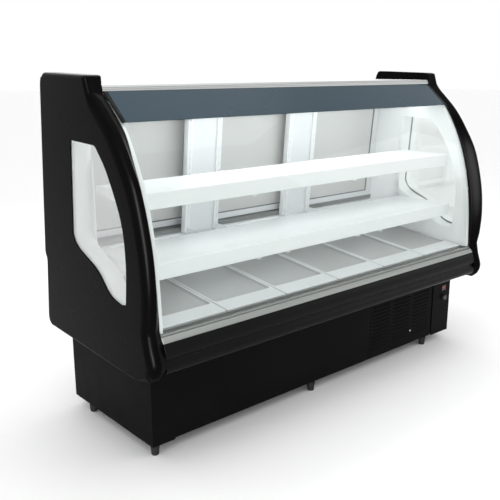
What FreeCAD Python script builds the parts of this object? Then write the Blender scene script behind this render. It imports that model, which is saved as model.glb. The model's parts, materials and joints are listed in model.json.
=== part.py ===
import FreeCAD, Part
import math
import os

# Refrigerated deli case with a curved front glass, in millimetres.
# X runs along the case, the customer's side faces -Y, Z is up and the floor is Z = 0.
# The origin is the middle of the footprint, on the floor.

os.makedirs("parts", exist_ok=True)
V = FreeCAD.Vector

# ---------------------------------------------------------------- overall sizes
overall_length = 1915.0       # over the two end panels
overall_height = 1305.0       # floor to the top of the end panels' horns
overall_depth = 734.0         # chin of the end panels to their lower rear corner

# ---------------------------------------------------------------- heights
base_bottom = 45.0            # underside of the base, set by the feet
base_top = 350.0              # top of the base and underside of the tank
sill_top = 478.0              # top of the aluminium sill under the glass
rear_sill = 650.0             # bottom of the rear doors' lower track
horn_rise = 40.0              # end panels above the top cover
trim_height = 20.0            # aluminium trim along the front of the top cover
fascia_height = 96.0          # height of the slanted fascia above the glass

# ---------------------------------------------------------------- depths, from the middle
front_y = -overall_depth / 2
rear_y = overall_depth / 2
chin_depth = 46.0             # chin of the end panels in front of the glass foot
base_inset_front = 130.0      # base front behind the chin
base_inset_rear = 46.0
glass_foot_y = front_y + chin_depth
base_front_y = front_y + base_inset_front
base_rear_y = rear_y - base_inset_rear

# ---------------------------------------------------------------- end panels
end_thickness = 62.5          # black moulded end panel
nose_width = 22.5             # width of the panel's front edge
liner_thickness = 17.5        # light inner lining of each end
top_panel_depth = 298.0       # middle of the case to the panel's upper rear corner
outer_half = overall_length / 2
end_inner = outer_half - end_thickness
inner_half = end_inner - liner_thickness
top_z = overall_height - horn_rise
fascia_top_z = top_z - trim_height
fascia_foot_z = fascia_top_z - fascia_height
glass_reach = 293.0           # the top of the glass behind its foot
fascia_depth = 112.0
fascia_top_y = glass_foot_y + glass_reach
fascia_foot_y = fascia_top_y - fascia_depth
glass_foot_z = sill_top + 8.0
glass_rise = fascia_top_z - glass_foot_z
rear_lean = 5.3               # the service side leans forward, in degrees

# ---------------------------------------------------------------- glass
glass_thickness = 6.0
glass_side_gap = 2.5
window_thickness = 5.0
window_rebate = 9.0           # the pane is larger than its opening by this much all round
window_lip = 3.0              # moulded lip in front of the pane
window_reveal = 3.0           # the lining's opening is larger than the window by this much

# ---------------------------------------------------------------- shelves
sheet = 2.0
top_shelf_z = 920.0
middle_shelf_z = 683.0
shelf_lip = 57.0              # height of a shelf's front face
shelf_plate = 19.0            # height of a shelf's rear flange
shelf_end_gap = 3.0
top_shelf_y = (-175.0, 84.0)
middle_shelf_y = (-204.0, 92.0)

# ---------------------------------------------------------------- base
base_step = 11.0              # sides of the base, in from the end panels' inner faces
base_half = end_inner - base_step
left_return = 95.0            # front face of the left corner
right_return = 139.0          # front face of the right corner
panel_recess = 4.0
panel_sheet = 3.0
foot_radius = 17.0            # top of a foot's tapered pad
foot_sole = 14.0              # radius of its sole
foot_screw = 5.0              # radius of its stem
foot_inset = 23.0             # feet, in from the corner of the base

# ---------------------------------------------------------------- fits
clearance = 0.5               # between pieces that stand side by side
slip = 0.2                    # between a piece and the hole that takes it
bearing = 0.05                # between a shaft and its bore
beyond = 1.0                  # a cutter passes this far out of what it cuts
liner_gap = 1.0               # pieces between the end linings stop short of them


def box(x0, x1, y0, y1, z0, z1):
    return Part.makeBox(x1 - x0, y1 - y0, z1 - z0, V(x0, y0, z0))


def rod(start, direction, radius, length):
    return Part.makeCylinder(radius, length, start, direction)


def line(a, b):
    return Part.LineSegment(a, b).toShape()


def curve(points):
    spline = Part.BSplineCurve()
    spline.interpolate(points)
    return spline.toShape()


def at_x(x, pairs):
    return [V(x, y, z) for y, z in pairs]


def prism(x, pairs, length):
    points = at_x(x, pairs)
    wire = Part.makePolygon(points + [points[0]])
    return Part.Face(wire).extrude(V(length, 0, 0))


def fuse(shapes):
    return shapes[0].multiFuse(shapes[1:]).removeSplitter()


def mirror(shape):
    return shape.mirror(V(0, 0, 0), V(1, 0, 0))


def middle_box(half, y0, y1, z0, z1):
    """A box that is centred on the case."""
    return box(-half, half, y0, y1, z0, z1)


def lean(shape):
    """Tip a piece built upright on the rear sill to the slope of the service side."""
    tipped = shape.copy()
    tipped.rotate(V(0, rear_y, rear_sill), V(1, 0, 0), rear_lean)
    return tipped


def save(name, shape):
    shape.exportStep("parts/" + name + ".step")


# ---------------------------------------------------------------- outlines
def glass_y(z, inset=0.0):
    """Front of the glass at a height, moved inwards by inset along its normal."""
    t = (z - glass_foot_z) / glass_rise
    y = glass_foot_y + glass_reach * (0.12 * t + 0.78 * t ** 3)
    slope = glass_reach * (0.12 + 2.34 * t ** 2) / glass_rise
    return y + inset * math.sqrt(1 + slope ** 2)


def glass_pairs(inset, z0, z1, count=7):
    steps = [z0 + (z1 - z0) * i / (count - 1) for i in range(count)]
    return [(glass_y(z, inset), z) for z in steps]


frame_setback = 20.0          # rear door frame, in from the widest point of the end panels


def rear_top_y(z):
    """Front of the rear door frame at a height."""
    return rear_y - frame_setback - (z - rear_sill) * math.tan(math.radians(rear_lean))


# The front edge of an end panel: share of the glass's height, depth behind the glass's foot,
# and how far the edge draws back where it meets the glass.
nose = ((1.0, 278.0, 12.0), (0.92, 208.0, 12.0), (0.84, 147.0, 13.0), (0.74, 91.0, 30.0), (0.60, 29.0, 44.0),
        (0.40, -15.0, 47.0), (0.23, -31.0, 44.0), (0.10, -28.0, 33.0), (0.02, -18.0, 20.0))
# The chin below it: depth behind the front, height below the sill, and its draw back.
chin = ((17.0, 27.0, 14.0), (0.1, 81.0, 12.0), (11.0, 122.0, 12.0), (38.0, 147.0, 12.0))
horn_y = glass_foot_y + nose[0][1]
horn_front = overall_height - 18.0


def end_outline(x, drawn_back):
    """Outline of an end panel; drawn_back is 1 where it meets the glass and 0 at its front edge."""
    front = [(glass_foot_y + y + drawn_back * back, glass_foot_z + glass_rise * t) for t, y, back in nose]
    lower = [(front_y + y + drawn_back * back, sill_top - z) for y, z, back in chin]
    corners = [lower[-1], (base_front_y - 5, base_top - 25), (rear_y - 20, base_top + 1),
               (rear_y, base_top + 22), (rear_y - 25, rear_sill - 31), (rear_y - 11, rear_sill - 10),
               (top_panel_depth, overall_height - 30), (top_panel_depth - 17, overall_height),
               (horn_y + 26, overall_height - 8), (horn_y + 6, horn_front), front[0]]
    edges = [curve(at_x(x, front)), curve(at_x(x, [front[-1]] + lower))]
    points = at_x(x, corners)
    for a, b in zip(points, points[1:]):
        edges.append(line(a, b))
    return Part.Wire(edges)


window_top = fascia_foot_z - 72.0
window_middle = -53.0         # middle of the side window, between its front and rear top corners


def window_outline(x, grow):
    """Side window: a flat top, a front edge that follows the glass, and a long curved foot."""
    front = [(-19 - 0.4 * grow, grow), (-87 - grow, -81), (-160 - grow, -225), (-179 - grow, -358),
             (-169 - grow, -501 - grow)]
    tip = (-142, -508 - grow)
    foot = [tip, (-66 + 0.6 * grow, -486 - grow), (11 + 0.6 * grow, -419 - grow),
            (140 + 0.6 * grow, -360 - grow), (169 + grow, -322)]
    rear_top = (145 + grow, 6 + grow)
    front, foot, (tip, rear_top) = [[V(x, window_middle + y, window_top + z) for y, z in pairs]
                                    for pairs in (front, foot, (tip, rear_top))]
    return Part.Wire([curve(front), line(front[-1], tip), curve(foot), line(foot[-1], rear_top),
                      line(rear_top, front[0])])


def plate(wire, length):
    return Part.Face(wire).extrude(V(length, 0, 0))


# ---------------------------------------------------------------- ends
def end_panel():
    """Moulded end: its front edge is thin and widens towards the glass behind it."""
    flank = end_thickness - nose_width
    inner = Part.makeLoft([end_outline(end_inner, 1.0), end_outline(end_inner + flank, 0.0)], True, True)
    outer = plate(end_outline(end_inner + flank, 0.0), nose_width)
    hole = plate(window_outline(end_inner - beyond, 0.0), end_thickness + 2 * beyond)
    seat = plate(window_outline(end_inner - beyond, window_rebate), end_thickness + beyond - window_lip)
    return fuse([inner, outer]).cut(hole).cut(seat)


window_x = outer_half - window_lip - window_thickness - slip
liner_behind_glass = 2.0      # front edge of the lining, behind the glass
liner_below_top = 40.0        # top rear corner of the lining, below the cover


def side_window():
    return plate(window_outline(window_x, window_rebate - clearance), window_thickness)


def end_liner():
    """Light inner lining, with a sleeve through the end panel that backs the window pane."""
    front = glass_pairs(glass_thickness + liner_behind_glass, glass_foot_z, fascia_foot_z)
    top = top_z - liner_below_top
    back = [(fascia_top_y + 8, fascia_top_z - 8), (rear_top_y(top), top),
            (rear_top_y(rear_sill), rear_sill), (rear_top_y(rear_sill), glass_foot_z)]
    edges = [curve(at_x(inner_half, front))]
    corners = at_x(inner_half, [front[-1]] + back + [front[0]])
    for a, b in zip(corners, corners[1:]):
        edges.append(line(a, b))
    wall = plate(Part.Wire(edges), liner_thickness)
    sleeve = plate(window_outline(inner_half, window_rebate - clearance), window_x - slip - inner_half)
    hole = plate(window_outline(inner_half - beyond, window_reveal), window_x + beyond - inner_half)
    return fuse([wall, sleeve]).cut(hole)


# ---------------------------------------------------------------- canopy
hinge_radius = 4.0
hinge_knuckle = 9.0           # radius of the trim's round back
hinge_y = fascia_top_y + 15.0
hinge_z = fascia_top_z + 10.0
canopy_half = inner_half - liner_gap
canopy_front = hinge_y + hinge_knuckle + 1.5
cover_thickness = 14.0
cover_drop = 40.0             # depth of the cover's rear flange
trough_y = fascia_top_y + 16
trough_z = fascia_top_z - 44
trough_width = 44.0
trough_height = 42.0
trough_wall = 5.0
trough_roof = 14.0
trough_end = 60.0             # ends of the lamp trough, in from the ends of the cover
hanger_x = 526.0
hanger_width = 24.0
hanger_depth = 18.0
hanger_root = 2.0             # the hangers reach this far into the trough


def canopy_top():
    """Insulated top cover with the lamp trough folded down under its front edge."""
    back = rear_top_y(top_z - cover_drop) - 2 * liner_gap
    under = top_z - cover_thickness
    half = canopy_half - trough_end
    lid = middle_box(canopy_half, canopy_front, back, under, top_z)
    drop = middle_box(canopy_half, back - cover_thickness, back, top_z - cover_drop, under)
    trough = middle_box(half, trough_y, trough_y + trough_width, trough_z, trough_z + trough_height)
    hollow = middle_box(half - trough_wall, trough_y + trough_wall, trough_y + trough_width - trough_wall,
                        trough_z - beyond, trough_z + trough_height - trough_roof)
    hangers = [box(x - hanger_width / 2, x + hanger_width / 2, canopy_front, canopy_front + hanger_depth,
                   trough_z + trough_height - hanger_root, under) for x in (-hanger_x, hanger_x)]
    return fuse([lid, drop, trough.cut(hollow)] + hangers)


# ---------------------------------------------------------------- front glass
glass_half = end_inner - glass_side_gap
band_thickness = 2.0
band_gap = 0.05               # glue line behind the band
band_below_top = 2.0
slant = math.hypot(fascia_depth, fascia_height)
slant_y = fascia_depth / slant
slant_z = fascia_height / slant
glass_top_gap = 1.0
glass_bend = 8.0              # height over which the glass bends into its flat upper part


def slanted(along, out):
    """Point on the flat upper part of the glass: along it from its foot, and out from its front face."""
    return (fascia_foot_y + slant_y * along - slant_z * out, fascia_foot_z + slant_z * along + slant_y * out)


def front_glass():
    """Curved pane with a flat upper part, up to the hinged trim."""
    outer = glass_pairs(0.0, glass_foot_z, fascia_foot_z - glass_bend / 2)
    inner = glass_pairs(glass_thickness, glass_foot_z, fascia_foot_z - glass_bend)
    x = -glass_half
    top = slant - glass_top_gap
    cut_back = glass_thickness * slant_y / slant_z
    corners = at_x(x, [outer[-1], slanted(glass_bend / 2, 0), slanted(top, 0),
                       slanted(top - cut_back, -glass_thickness), slanted(glass_bend / 4, -glass_thickness),
                       inner[-1]])
    edges = [curve(at_x(x, outer))]
    for a, b in zip(corners, corners[1:]):
        edges.append(line(a, b))
    edges.append(curve(at_x(x, inner[::-1])))
    edges.append(line(V(x, *inner[0]), V(x, *outer[0])))
    return plate(Part.Wire(edges), 2 * glass_half)


def band(x0, x1):
    top = slant - band_below_top
    face = [slanted(0, band_gap), slanted(0, band_thickness), slanted(top, band_thickness),
            slanted(top, band_gap)]
    return prism(x0, face, x1 - x0)


def glass_band():
    """Dark glossy band on the flat upper part of the glass."""
    return band(-inner_half + liner_gap, inner_half - liner_gap)


def glass_end_caps():
    """Black clips that hold the corners of the glass beside the band."""
    return Part.makeCompound([band(-glass_half, -inner_half), band(inner_half, glass_half)])


trim_groove = 1.6             # depth of the grooves in the trim's face
trim_leg = 34.0               # length of the leg behind the glass
trim_leg_thickness = 3.9


def canopy_trim():
    """Grooved aluminium section along the top of the glass, turning on the hinge rod."""
    y = fascia_top_y
    z = fascia_top_z + slip
    top = fascia_top_z + trim_height
    face = [(y - 1, z), (y - 1, z + 5), (y - 1 + trim_groove, z + 6), (y - 1, z + 7), (y + 1, z + 12),
            (y + 1 + trim_groove, z + 13), (y + 1, z + 14), (y + 3, top), (y + 13, top), (y + 13, z)]
    behind = glass_thickness + 2 * band_gap
    leg = [slanted(slant - trim_leg, -behind), slanted(slant - trim_leg, -behind - trim_leg_thickness),
           (y + 16, z + 3), (y + 9.6, z)]
    knuckle = rod(V(-glass_half, hinge_y, hinge_z), V(1, 0, 0), hinge_knuckle, 2 * glass_half)
    bore = rod(V(-glass_half - beyond, hinge_y, hinge_z), V(1, 0, 0), hinge_radius + bearing,
               2 * glass_half + 2 * beyond)
    body = fuse([prism(-glass_half, face, 2 * glass_half), prism(-glass_half, leg, 2 * glass_half), knuckle])
    return body.cut(bore)


def glass_hinge_rod():
    return rod(V(-end_inner, hinge_y, hinge_z), V(1, 0, 0), hinge_radius, 2 * end_inner)


# ---------------------------------------------------------------- sill, bumper and tank
sill_depth = 34.0             # the sill's flat top, behind the foot of the glass
sill_face = 20.0              # height of its tilted front face
rail_half = end_inner - clearance
bumper_back = glass_foot_y + 36
bumper_under = 22.0           # the bumper's foot hangs this far in front of the base


def sill_trim():
    """Aluminium sill with a tilted front face and a drip edge."""
    y = glass_foot_y
    z = sill_top
    face = [(y + sill_depth, z - 4), (y + sill_depth, z), (y - 5, z), (y - 8, z - 3), (y - 19, z - 18),
            (y - 17, z - sill_face), (y - 6, z - sill_face), (y + 4, z - 4)]
    return prism(-rail_half, face, 2 * rail_half)


def bumper_rail():
    """Black moulded rail: a hollowed upper band over a rounded lower lip."""
    y = glass_foot_y - 20
    top = sill_top - sill_face - clearance
    x = -rail_half
    upper = [(y + 1, top), (y - 8, top - 22), (y - 10, top - 45), (y - 4, top - 56)]
    lip = [(y - 4, top - 62), (y - 13, top - 78), (y - 8, top - 98), (y + 22, top - 110)]
    under = [(base_front_y - 4, base_top - bumper_under), (base_front_y - 4, base_top),
             (bumper_back, base_top), (bumper_back, top)]
    edges = [curve(at_x(x, upper)), line(V(x, *upper[-1]), V(x, *lip[0])), curve(at_x(x, lip))]
    corners = at_x(x, [lip[-1]] + under + [upper[0]])
    for a, b in zip(corners, corners[1:]):
        edges.append(line(a, b))
    return plate(Part.Wire(edges), 2 * rail_half)


tank_half = inner_half - liner_gap
tank_wall = 28.0
tank_front = bumper_back + clearance
tank_rear = rear_y - 46
tank_rim = sill_top - 6
tank_floor = base_top + tank_wall
drain_radius = 12.0
drain_y = 60.0


def tank():
    """Insulated well with its drain."""
    well_half = inner_half - tank_wall
    outer = middle_box(tank_half, tank_front, tank_rear, base_top + clearance, tank_rim)
    well = middle_box(well_half, tank_front + tank_wall, tank_rear - tank_wall, tank_floor, tank_rim + beyond)
    drain = rod(V(0, drain_y, base_top - beyond), V(0, 0, 1), drain_radius, tank_wall + 2 * beyond)
    return outer.cut(well).cut(drain)


deck_slope = 6.0
deck_front = glass_foot_y + 40
deck_depth = 470.0
deck_count = 6
deck_gap = 3.0
deck_end_gap = 3.0
pan_wall = 2.0
pan_rim = 10.0
deck_rear_z = sill_top + deck_depth * math.sin(math.radians(deck_slope))
deck_rear_y = deck_front + deck_depth * math.cos(math.radians(deck_slope))


def deck_pans():
    """Shallow pans side by side on the well, falling towards the glass."""
    span = 2 * (inner_half - deck_end_gap)
    pitch = span / deck_count
    deck_back = deck_front + deck_depth
    pans = []
    for i in range(deck_count):
        x0 = -span / 2 + i * pitch + deck_gap / 2
        x1 = x0 + pitch - deck_gap
        shell = box(x0, x1, deck_front, deck_back, sill_top, sill_top + pan_rim)
        inside = box(x0 + pan_wall, x1 - pan_wall, deck_front + pan_wall, deck_back - pan_wall,
                     sill_top + pan_wall, sill_top + pan_rim + beyond)
        pan = shell.cut(inside)
        pan.rotate(V(0, deck_front, sill_top), V(1, 0, 0), deck_slope)
        pans.append(pan)
    return Part.makeCompound(pans)


rear_wall_y = rear_y - 42
rear_wall_thickness = 30.0
rear_shelf_depth = 58.0       # the wall's head carries the posts and the lower track
rear_shelf_drop = 9.0
ledge_thickness = 3.0
ledge_lap = 30.0              # the ledge reaches this far under the pans


def rear_lower_panel():
    """Insulated wall between the tank and the rear doors, with the ledge that carries the pans."""
    y = rear_wall_y
    foot = tank_rim + clearance
    head = rear_sill - rear_shelf_drop
    front = y - rear_shelf_depth
    outline = [(y - rear_wall_thickness, foot), (y, foot), (y - 9, head - 25), (y - 1, head - 15),
               (y - 1, head), (front, head), (front, head - 13), (y - 40, head - 13)]
    wall = prism(-tank_half, outline, 2 * tank_half)
    ledge_z = deck_rear_z - 12
    ledge = middle_box(tank_half, deck_rear_y - ledge_lap, y - rear_wall_thickness - 2, ledge_z,
                       ledge_z + ledge_thickness)
    return fuse([wall, ledge])


# ---------------------------------------------------------------- evaporator
motor_shaft = 3.0             # radius of the fan motors' shafts
plate_y = 120.0               # fan plate behind the coil
plate_thickness = 3.0
fan_hole = 52.0
fan_z = 432.0
fan_x = (-260.0, 260.0)
fan_blade = 47.0
fan_width = 12.0
fan_blades = 5
hub_radius = 15.0
motor_bar = 16.0              # height of the bar that carries a motor across its hole
motor_radius = 22.0
motor_length = 34.0
coil_half = 560.0
coil_y = (-120.0, 60.0)
coil_z = (tank_floor + 4, sill_top - 26)
fin_thickness = 1.2
fin_pitch = 28.0
tube_radius = 5.0
tube_end = 14.0               # tubes stand out of the fins by this much


def evaporator_coil():
    """Finned block: thin fins on the tube runs through them."""
    count = int(2 * coil_half / fin_pitch) + 1
    fins = []
    for i in range(count):
        x = -coil_half + fin_pitch * i
        fins.append(box(x, x + fin_thickness, *coil_y, *coil_z))
    tubes = [rod(V(-coil_half - tube_end, y, z), V(1, 0, 0), tube_radius, 2 * (coil_half + tube_end))
             for y in (-90.0, -30.0, 30.0) for z in (coil_z[0] + 18, coil_z[0] + 52)]
    return fuse(fins + tubes)


def evaporator_fan_plate():
    """Wall behind the coil with a hole and a motor bar for each fan."""
    back = plate_y + plate_thickness
    wall = middle_box(inner_half - tank_wall - 2, plate_y, back, tank_floor + clearance, deck_rear_z - 30)
    bars = []
    for x in fan_x:
        hole = rod(V(x, plate_y - beyond, fan_z), V(0, 1, 0), fan_hole, plate_thickness + 2 * beyond)
        wall = wall.cut(hole)
        bars.append(box(x - fan_hole - 4, x + fan_hole + 4, back, back + plate_thickness,
                        fan_z - motor_bar / 2, fan_z + motor_bar / 2))
    body = fuse([wall] + bars)
    for x in fan_x:
        body = body.cut(rod(V(x, plate_y, fan_z), V(0, 1, 0), motor_shaft + 1, 3 * plate_thickness))
    return body


def evaporator_fan_motors():
    motors = []
    for x in fan_x:
        can = rod(V(x, plate_y + 2 * plate_thickness, fan_z), V(0, 1, 0), motor_radius, motor_length)
        shaft = rod(V(x, plate_y - 18, fan_z), V(0, 1, 0), motor_shaft, 24)
        motors.append(can.fuse(shaft))
    return Part.makeCompound(motors)


blade_thickness = 2.0
blade_twist = 32.0
blade_root = 3.0              # a blade's root lies this deep in the hub


def fan(x, y, z, radius, hub, width, blades):
    """Axial fan about a shaft along Y: a hub with twisted plate blades."""
    parts = [rod(V(x, y, z), V(0, 1, 0), hub, width)]
    chord = width * 1.5
    for i in range(blades):
        start = V(x + hub - blade_root, y + width / 2 - blade_thickness / 2, z - chord / 2)
        blade = Part.makeBox(radius - hub + blade_root, blade_thickness, chord, start)
        blade.rotate(V(x + hub, y + width / 2, z), V(1, 0, 0), blade_twist)
        blade.rotate(V(x, y, z), V(0, 1, 0), 360.0 * i / blades)
        parts.append(blade)
    bore = rod(V(x, y - beyond, z), V(0, 1, 0), motor_shaft + bearing, width + 2 * beyond)
    return fuse(parts).cut(bore)


# ---------------------------------------------------------------- shelves
shelf_half = inner_half - shelf_end_gap
shelf_hem = 18.0


def shelf(z, reach):
    """Folded steel shelf: a deep front face with a hem, a rear flange and two ends."""
    y0, y1 = reach
    top = middle_box(shelf_half, y0, y1, z - sheet, z)
    face = middle_box(shelf_half, y0, y0 + sheet, z - shelf_lip, z)
    hem = middle_box(shelf_half, y0, y0 + shelf_hem, z - shelf_lip, z - shelf_lip + sheet)
    back = middle_box(shelf_half, y1 - sheet, y1, z - shelf_plate, z)
    ends = [box(x, x + sheet, y0, y1, z - shelf_plate, z) for x in (-shelf_half, shelf_half - sheet)]
    return fuse([top, face, hem, back] + ends)


tube_lamp_radius = 13.0
slim_lamp_width = 12.0
slim_lamp_height = 13.5
slim_lamp_end = 30.0          # ends of the slim lamps, in from the ends of their shelf


def light_tubes():
    """Lamp tube of the canopy and the slim lamps behind the front face of each shelf."""
    half = canopy_half - trough_end - trough_wall
    lamp_z = trough_z + trough_height - trough_roof - tube_lamp_radius - 4
    lamps = [rod(V(-half, trough_y + trough_width / 2, lamp_z), V(1, 0, 0), tube_lamp_radius, 2 * half)]
    for z, reach in ((top_shelf_z, top_shelf_y), (middle_shelf_z, middle_shelf_y)):
        y = reach[0] + sheet + 4
        top = z - sheet - clearance
        slim_half = shelf_half - slim_lamp_end
        lamps.append(middle_box(slim_half, y, y + slim_lamp_width, top - slim_lamp_height, top))
    return Part.makeCompound(lamps)


post_width = 180.0
post_centre = 285.0
post_face = 104.0             # front of the posts, in from the sloping rear face
post_depth = 20.0
post_wall = 2.0
frame_height = (top_z - 44 - rear_sill) / math.cos(math.radians(rear_lean))
upright_width = 24.0
upright_depth = 8.0
upright_wall = 2.0
upright_edge = 14.0           # middle of an upright, in from the edge of its post
upright_y = rear_y - post_face - slip
upright_foot = rear_sill + 6
upright_head = rear_sill + frame_height - 60
slot_pitch = 32.0
slot_width = 4.4
slot_height = 16.0
upright_reach = post_width / 2 - upright_edge
upright_x = [middle + edge for middle in (-post_centre, post_centre)
             for edge in (-upright_reach, upright_reach)]


def rear_posts():
    """Wide folded posts that lean with the service side."""
    posts = []
    y = rear_y - post_face
    foot = rear_sill + 2
    head = rear_sill + frame_height - 4
    for x in (-post_centre, post_centre):
        x0, x1 = x - post_width / 2, x + post_width / 2
        body = box(x0, x1, y, y + post_depth, foot, head)
        inside = box(x0 + post_wall, x1 - post_wall, y + post_wall, y + post_depth + beyond,
                     foot - beyond, head + beyond)
        posts.append(lean(body.cut(inside)))
    return Part.makeCompound(posts)


def shelf_uprights():
    """Slotted strips on the posts that the shelf brackets hook into."""
    strips = []
    y = upright_y - upright_depth
    for x in upright_x:
        x0, x1 = x - upright_width / 2, x + upright_width / 2
        strip = box(x0, x1, y, upright_y, upright_foot, upright_head)
        channel = box(x0 + upright_wall, x1 - upright_wall, y + upright_wall, upright_y + beyond,
                      upright_foot - beyond, upright_head + beyond)
        strip = strip.cut(channel)
        z = upright_foot + slot_height
        while z + slot_pitch < upright_head:
            strip = strip.cut(box(x - slot_width / 2, x + slot_width / 2, y - beyond,
                                  y + upright_wall + beyond, z, z + slot_height))
            z += slot_pitch
        strips.append(lean(strip))
    return Part.makeCompound(strips)


def upright_face_y(z):
    """Front of the uprights at a height, after the lean."""
    return upright_y - upright_depth - (z - rear_sill) * math.tan(math.radians(rear_lean)) - 1.3


side_strip_y = 97.0
side_strip_z = (640.0, 1010.0)
side_strip_width = 20.0
side_strip_thickness = 5.0


def side_uprights():
    """Slotted strips on the end linings, level with the rear edge of the shelves."""
    foot, head = side_strip_z
    x0, x1 = inner_half - side_strip_thickness, inner_half
    middle = side_strip_y + side_strip_width / 2
    strip = box(x0, x1, side_strip_y, side_strip_y + side_strip_width, foot, head)
    z = foot + slot_height
    while z + slot_pitch < head:
        strip = strip.cut(box(x0 - beyond, x1 + beyond, middle - slot_width / 2, middle + slot_width / 2,
                              z, z + slot_height))
        z += slot_pitch
    return Part.makeCompound([strip, mirror(strip)])


bracket_thickness = 3.0
bracket_root = 42.0           # height of an arm at the post
bracket_tip = 25.5            # height of an arm at the front


def shelf_brackets():
    """Tapered steel arms from the uprights to the front face of each shelf."""
    arms = []
    for z, reach in ((top_shelf_z, top_shelf_y), (middle_shelf_z, middle_shelf_y)):
        top = z - shelf_plate - clearance
        tip = reach[0] + sheet + 22
        root = upright_face_y(top)
        low = upright_face_y(top - bracket_root)
        arm = [(tip, top), (root, top), (low, top - bracket_root), (low - 14, top - bracket_root),
               (tip, top - bracket_tip)]
        for x in upright_x:
            arms.append(prism(x - bracket_thickness / 2, arm, bracket_thickness))
    return Part.makeCompound(arms)


# ---------------------------------------------------------------- rear doors
track_depth = 66.0
track_face = 16.0             # rear of the tracks, in from the sloping rear face
track_height = 22.0
track_rib = 2.0
door_count = 3
door_pitch = (track_depth - track_rib) / door_count
door_thickness = 16.0
door_overlap = 40.0
door_stile = 38.0
door_bottom = rear_sill + 8
door_top = rear_sill + frame_height - 10
jamb = 4.0
door_width = (2 * (inner_half - jamb) + (door_count - 1) * door_overlap) / door_count
door_glass_thickness = 5.0
door_glass_rebate = 8.0       # the pane reaches this far into the frame
pull_width = 18.0
pull_length = 140.0
pull_depth = 9.0


def door_y(index):
    """Rear face of a door: the left door runs in the outer channel, the right one in the inner."""
    play = (door_pitch - track_rib - door_thickness) / 2
    return rear_y - track_face - track_rib - door_pitch * index - play


def door_x(index):
    return -inner_half + jamb + index * (door_width - door_overlap)


def rear_track(z0, z1, floor0, floor1):
    """Aluminium track with a channel for each door."""
    back = rear_y - track_face
    body = middle_box(tank_half, back - track_depth, back, z0, z1)
    for i in range(door_count):
        y1 = back - track_rib - door_pitch * i
        body = body.cut(middle_box(inner_half, y1 - door_pitch + track_rib, y1, floor0, floor1))
    return lean(body)


def rear_track_bottom():
    top = rear_sill + track_height
    return rear_track(rear_sill + 1, top, door_bottom - clearance, top + beyond)


def rear_track_top():
    top = rear_sill + frame_height
    return rear_track(top - track_height, top, top - track_height - beyond, door_top + 4)


def door_frame(index):
    """Sliding door's frame, rebated for its pane, with a finger pull sunk into one stile."""
    x0 = door_x(index)
    x1 = x0 + door_width
    y1 = door_y(index)
    pane_y = y1 - door_thickness / 2
    groove = door_glass_thickness / 2 + clearance
    edge = door_stile - door_glass_rebate
    body = box(x0, x1, y1 - door_thickness, y1, door_bottom, door_top)
    opening = box(x0 + door_stile, x1 - door_stile, y1 - door_thickness - beyond, y1 + beyond,
                  door_bottom + door_stile, door_top - door_stile)
    rebate = box(x0 + edge, x1 - edge, pane_y - groove, pane_y + groove, door_bottom + edge, door_top - edge)
    pull_x = x1 - door_stile / 2 if index == door_count - 1 else x0 + door_stile / 2
    middle = (door_bottom + door_top) / 2
    pull = box(pull_x - pull_width / 2, pull_x + pull_width / 2, y1 - pull_depth, y1 + beyond,
               middle - pull_length / 2, middle + pull_length / 2)
    return lean(body.cut(opening).cut(rebate).cut(pull))


def door_glass(index):
    x0 = door_x(index)
    x1 = x0 + door_width
    y = door_y(index) - door_thickness / 2
    edge = door_stile - door_glass_rebate + clearance
    half = door_glass_thickness / 2
    return lean(box(x0 + edge, x1 - edge, y - half, y + half, door_bottom + edge, door_top - edge))


# ---------------------------------------------------------------- base
panel_top = base_top - 24.0
panel_y = base_front_y + panel_recess
panel_joint = 1.0             # gap between the panels of the front
tray_inset = 8.0              # tray, in from the outside of the base
tray_edge = 40.0
tray_gap = 44.0               # the drain hose passes between the two trays
foot_thread = 5.0             # a foot's pad ends this far below the base
foot_stem = 46.0
foot_x = (-base_half + foot_inset, -77.0, base_half - 177.0)
foot_y = (base_front_y + foot_inset, base_rear_y - 100.0)
foot_places = [(x, y) for y in foot_y for x in foot_x]


def base_tray():
    """Floor of the base: two folded steel trays with a boss over each foot, apart for the drain hose."""
    y0, y1 = base_front_y + tray_inset, base_rear_y - tray_inset
    end = base_half - tray_inset
    trays = []
    for x0, x1 in ((-end, -tray_gap / 2), (tray_gap / 2, end)):
        parts = [box(x0, x1, y0, y1, base_bottom, base_bottom + panel_sheet)]
        parts += [box(x0, x1, y, y + panel_sheet, base_bottom, base_bottom + tray_edge)
                  for y in (y0, y1 - panel_sheet)]
        stems = [(x, y) for x, y in foot_places if x0 < x < x1]
        parts += [rod(V(x, y, base_bottom - foot_thread), V(0, 0, 1), foot_radius - 2, 14) for x, y in stems]
        tray = fuse(parts)
        for x, y in stems:
            tray = tray.cut(rod(V(x, y, base_bottom - foot_thread - beyond), V(0, 0, 1), foot_screw + bearing,
                                tray_edge))
        trays.append(tray)
    return Part.makeCompound(trays)


def foot(x, y):
    """Levelling foot: a tapered pad on a threaded stem."""
    pad = Part.makeCone(foot_sole, foot_radius, base_bottom - foot_thread - clearance, V(x, y, 0))
    return pad.fuse(rod(V(x, y, base_bottom - foot_thread - 1), V(0, 0, 1), foot_screw, foot_stem))


side_skirt = 4.0              # the corners reach this far below the base
rear_return = 40.0


def corner_side(sense, front_return):
    """Side of the base, folded round the front corner and the rear corner."""
    low = base_bottom - side_skirt

    def upright(inset, y0, y1, top):
        outer = sense * base_half
        inner = sense * (base_half - inset)
        return box(min(outer, inner), max(outer, inner), y0, y1, low, top)

    side = upright(panel_sheet, base_front_y, base_rear_y, base_top - panel_joint)
    front = upright(front_return, base_front_y, base_front_y + panel_sheet, panel_top + 1.5)
    rear = upright(rear_return, base_rear_y - panel_sheet, base_rear_y, base_top - panel_joint)
    return fuse([side, front, rear])


def base_side_left():
    return corner_side(-1, left_return)


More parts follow.
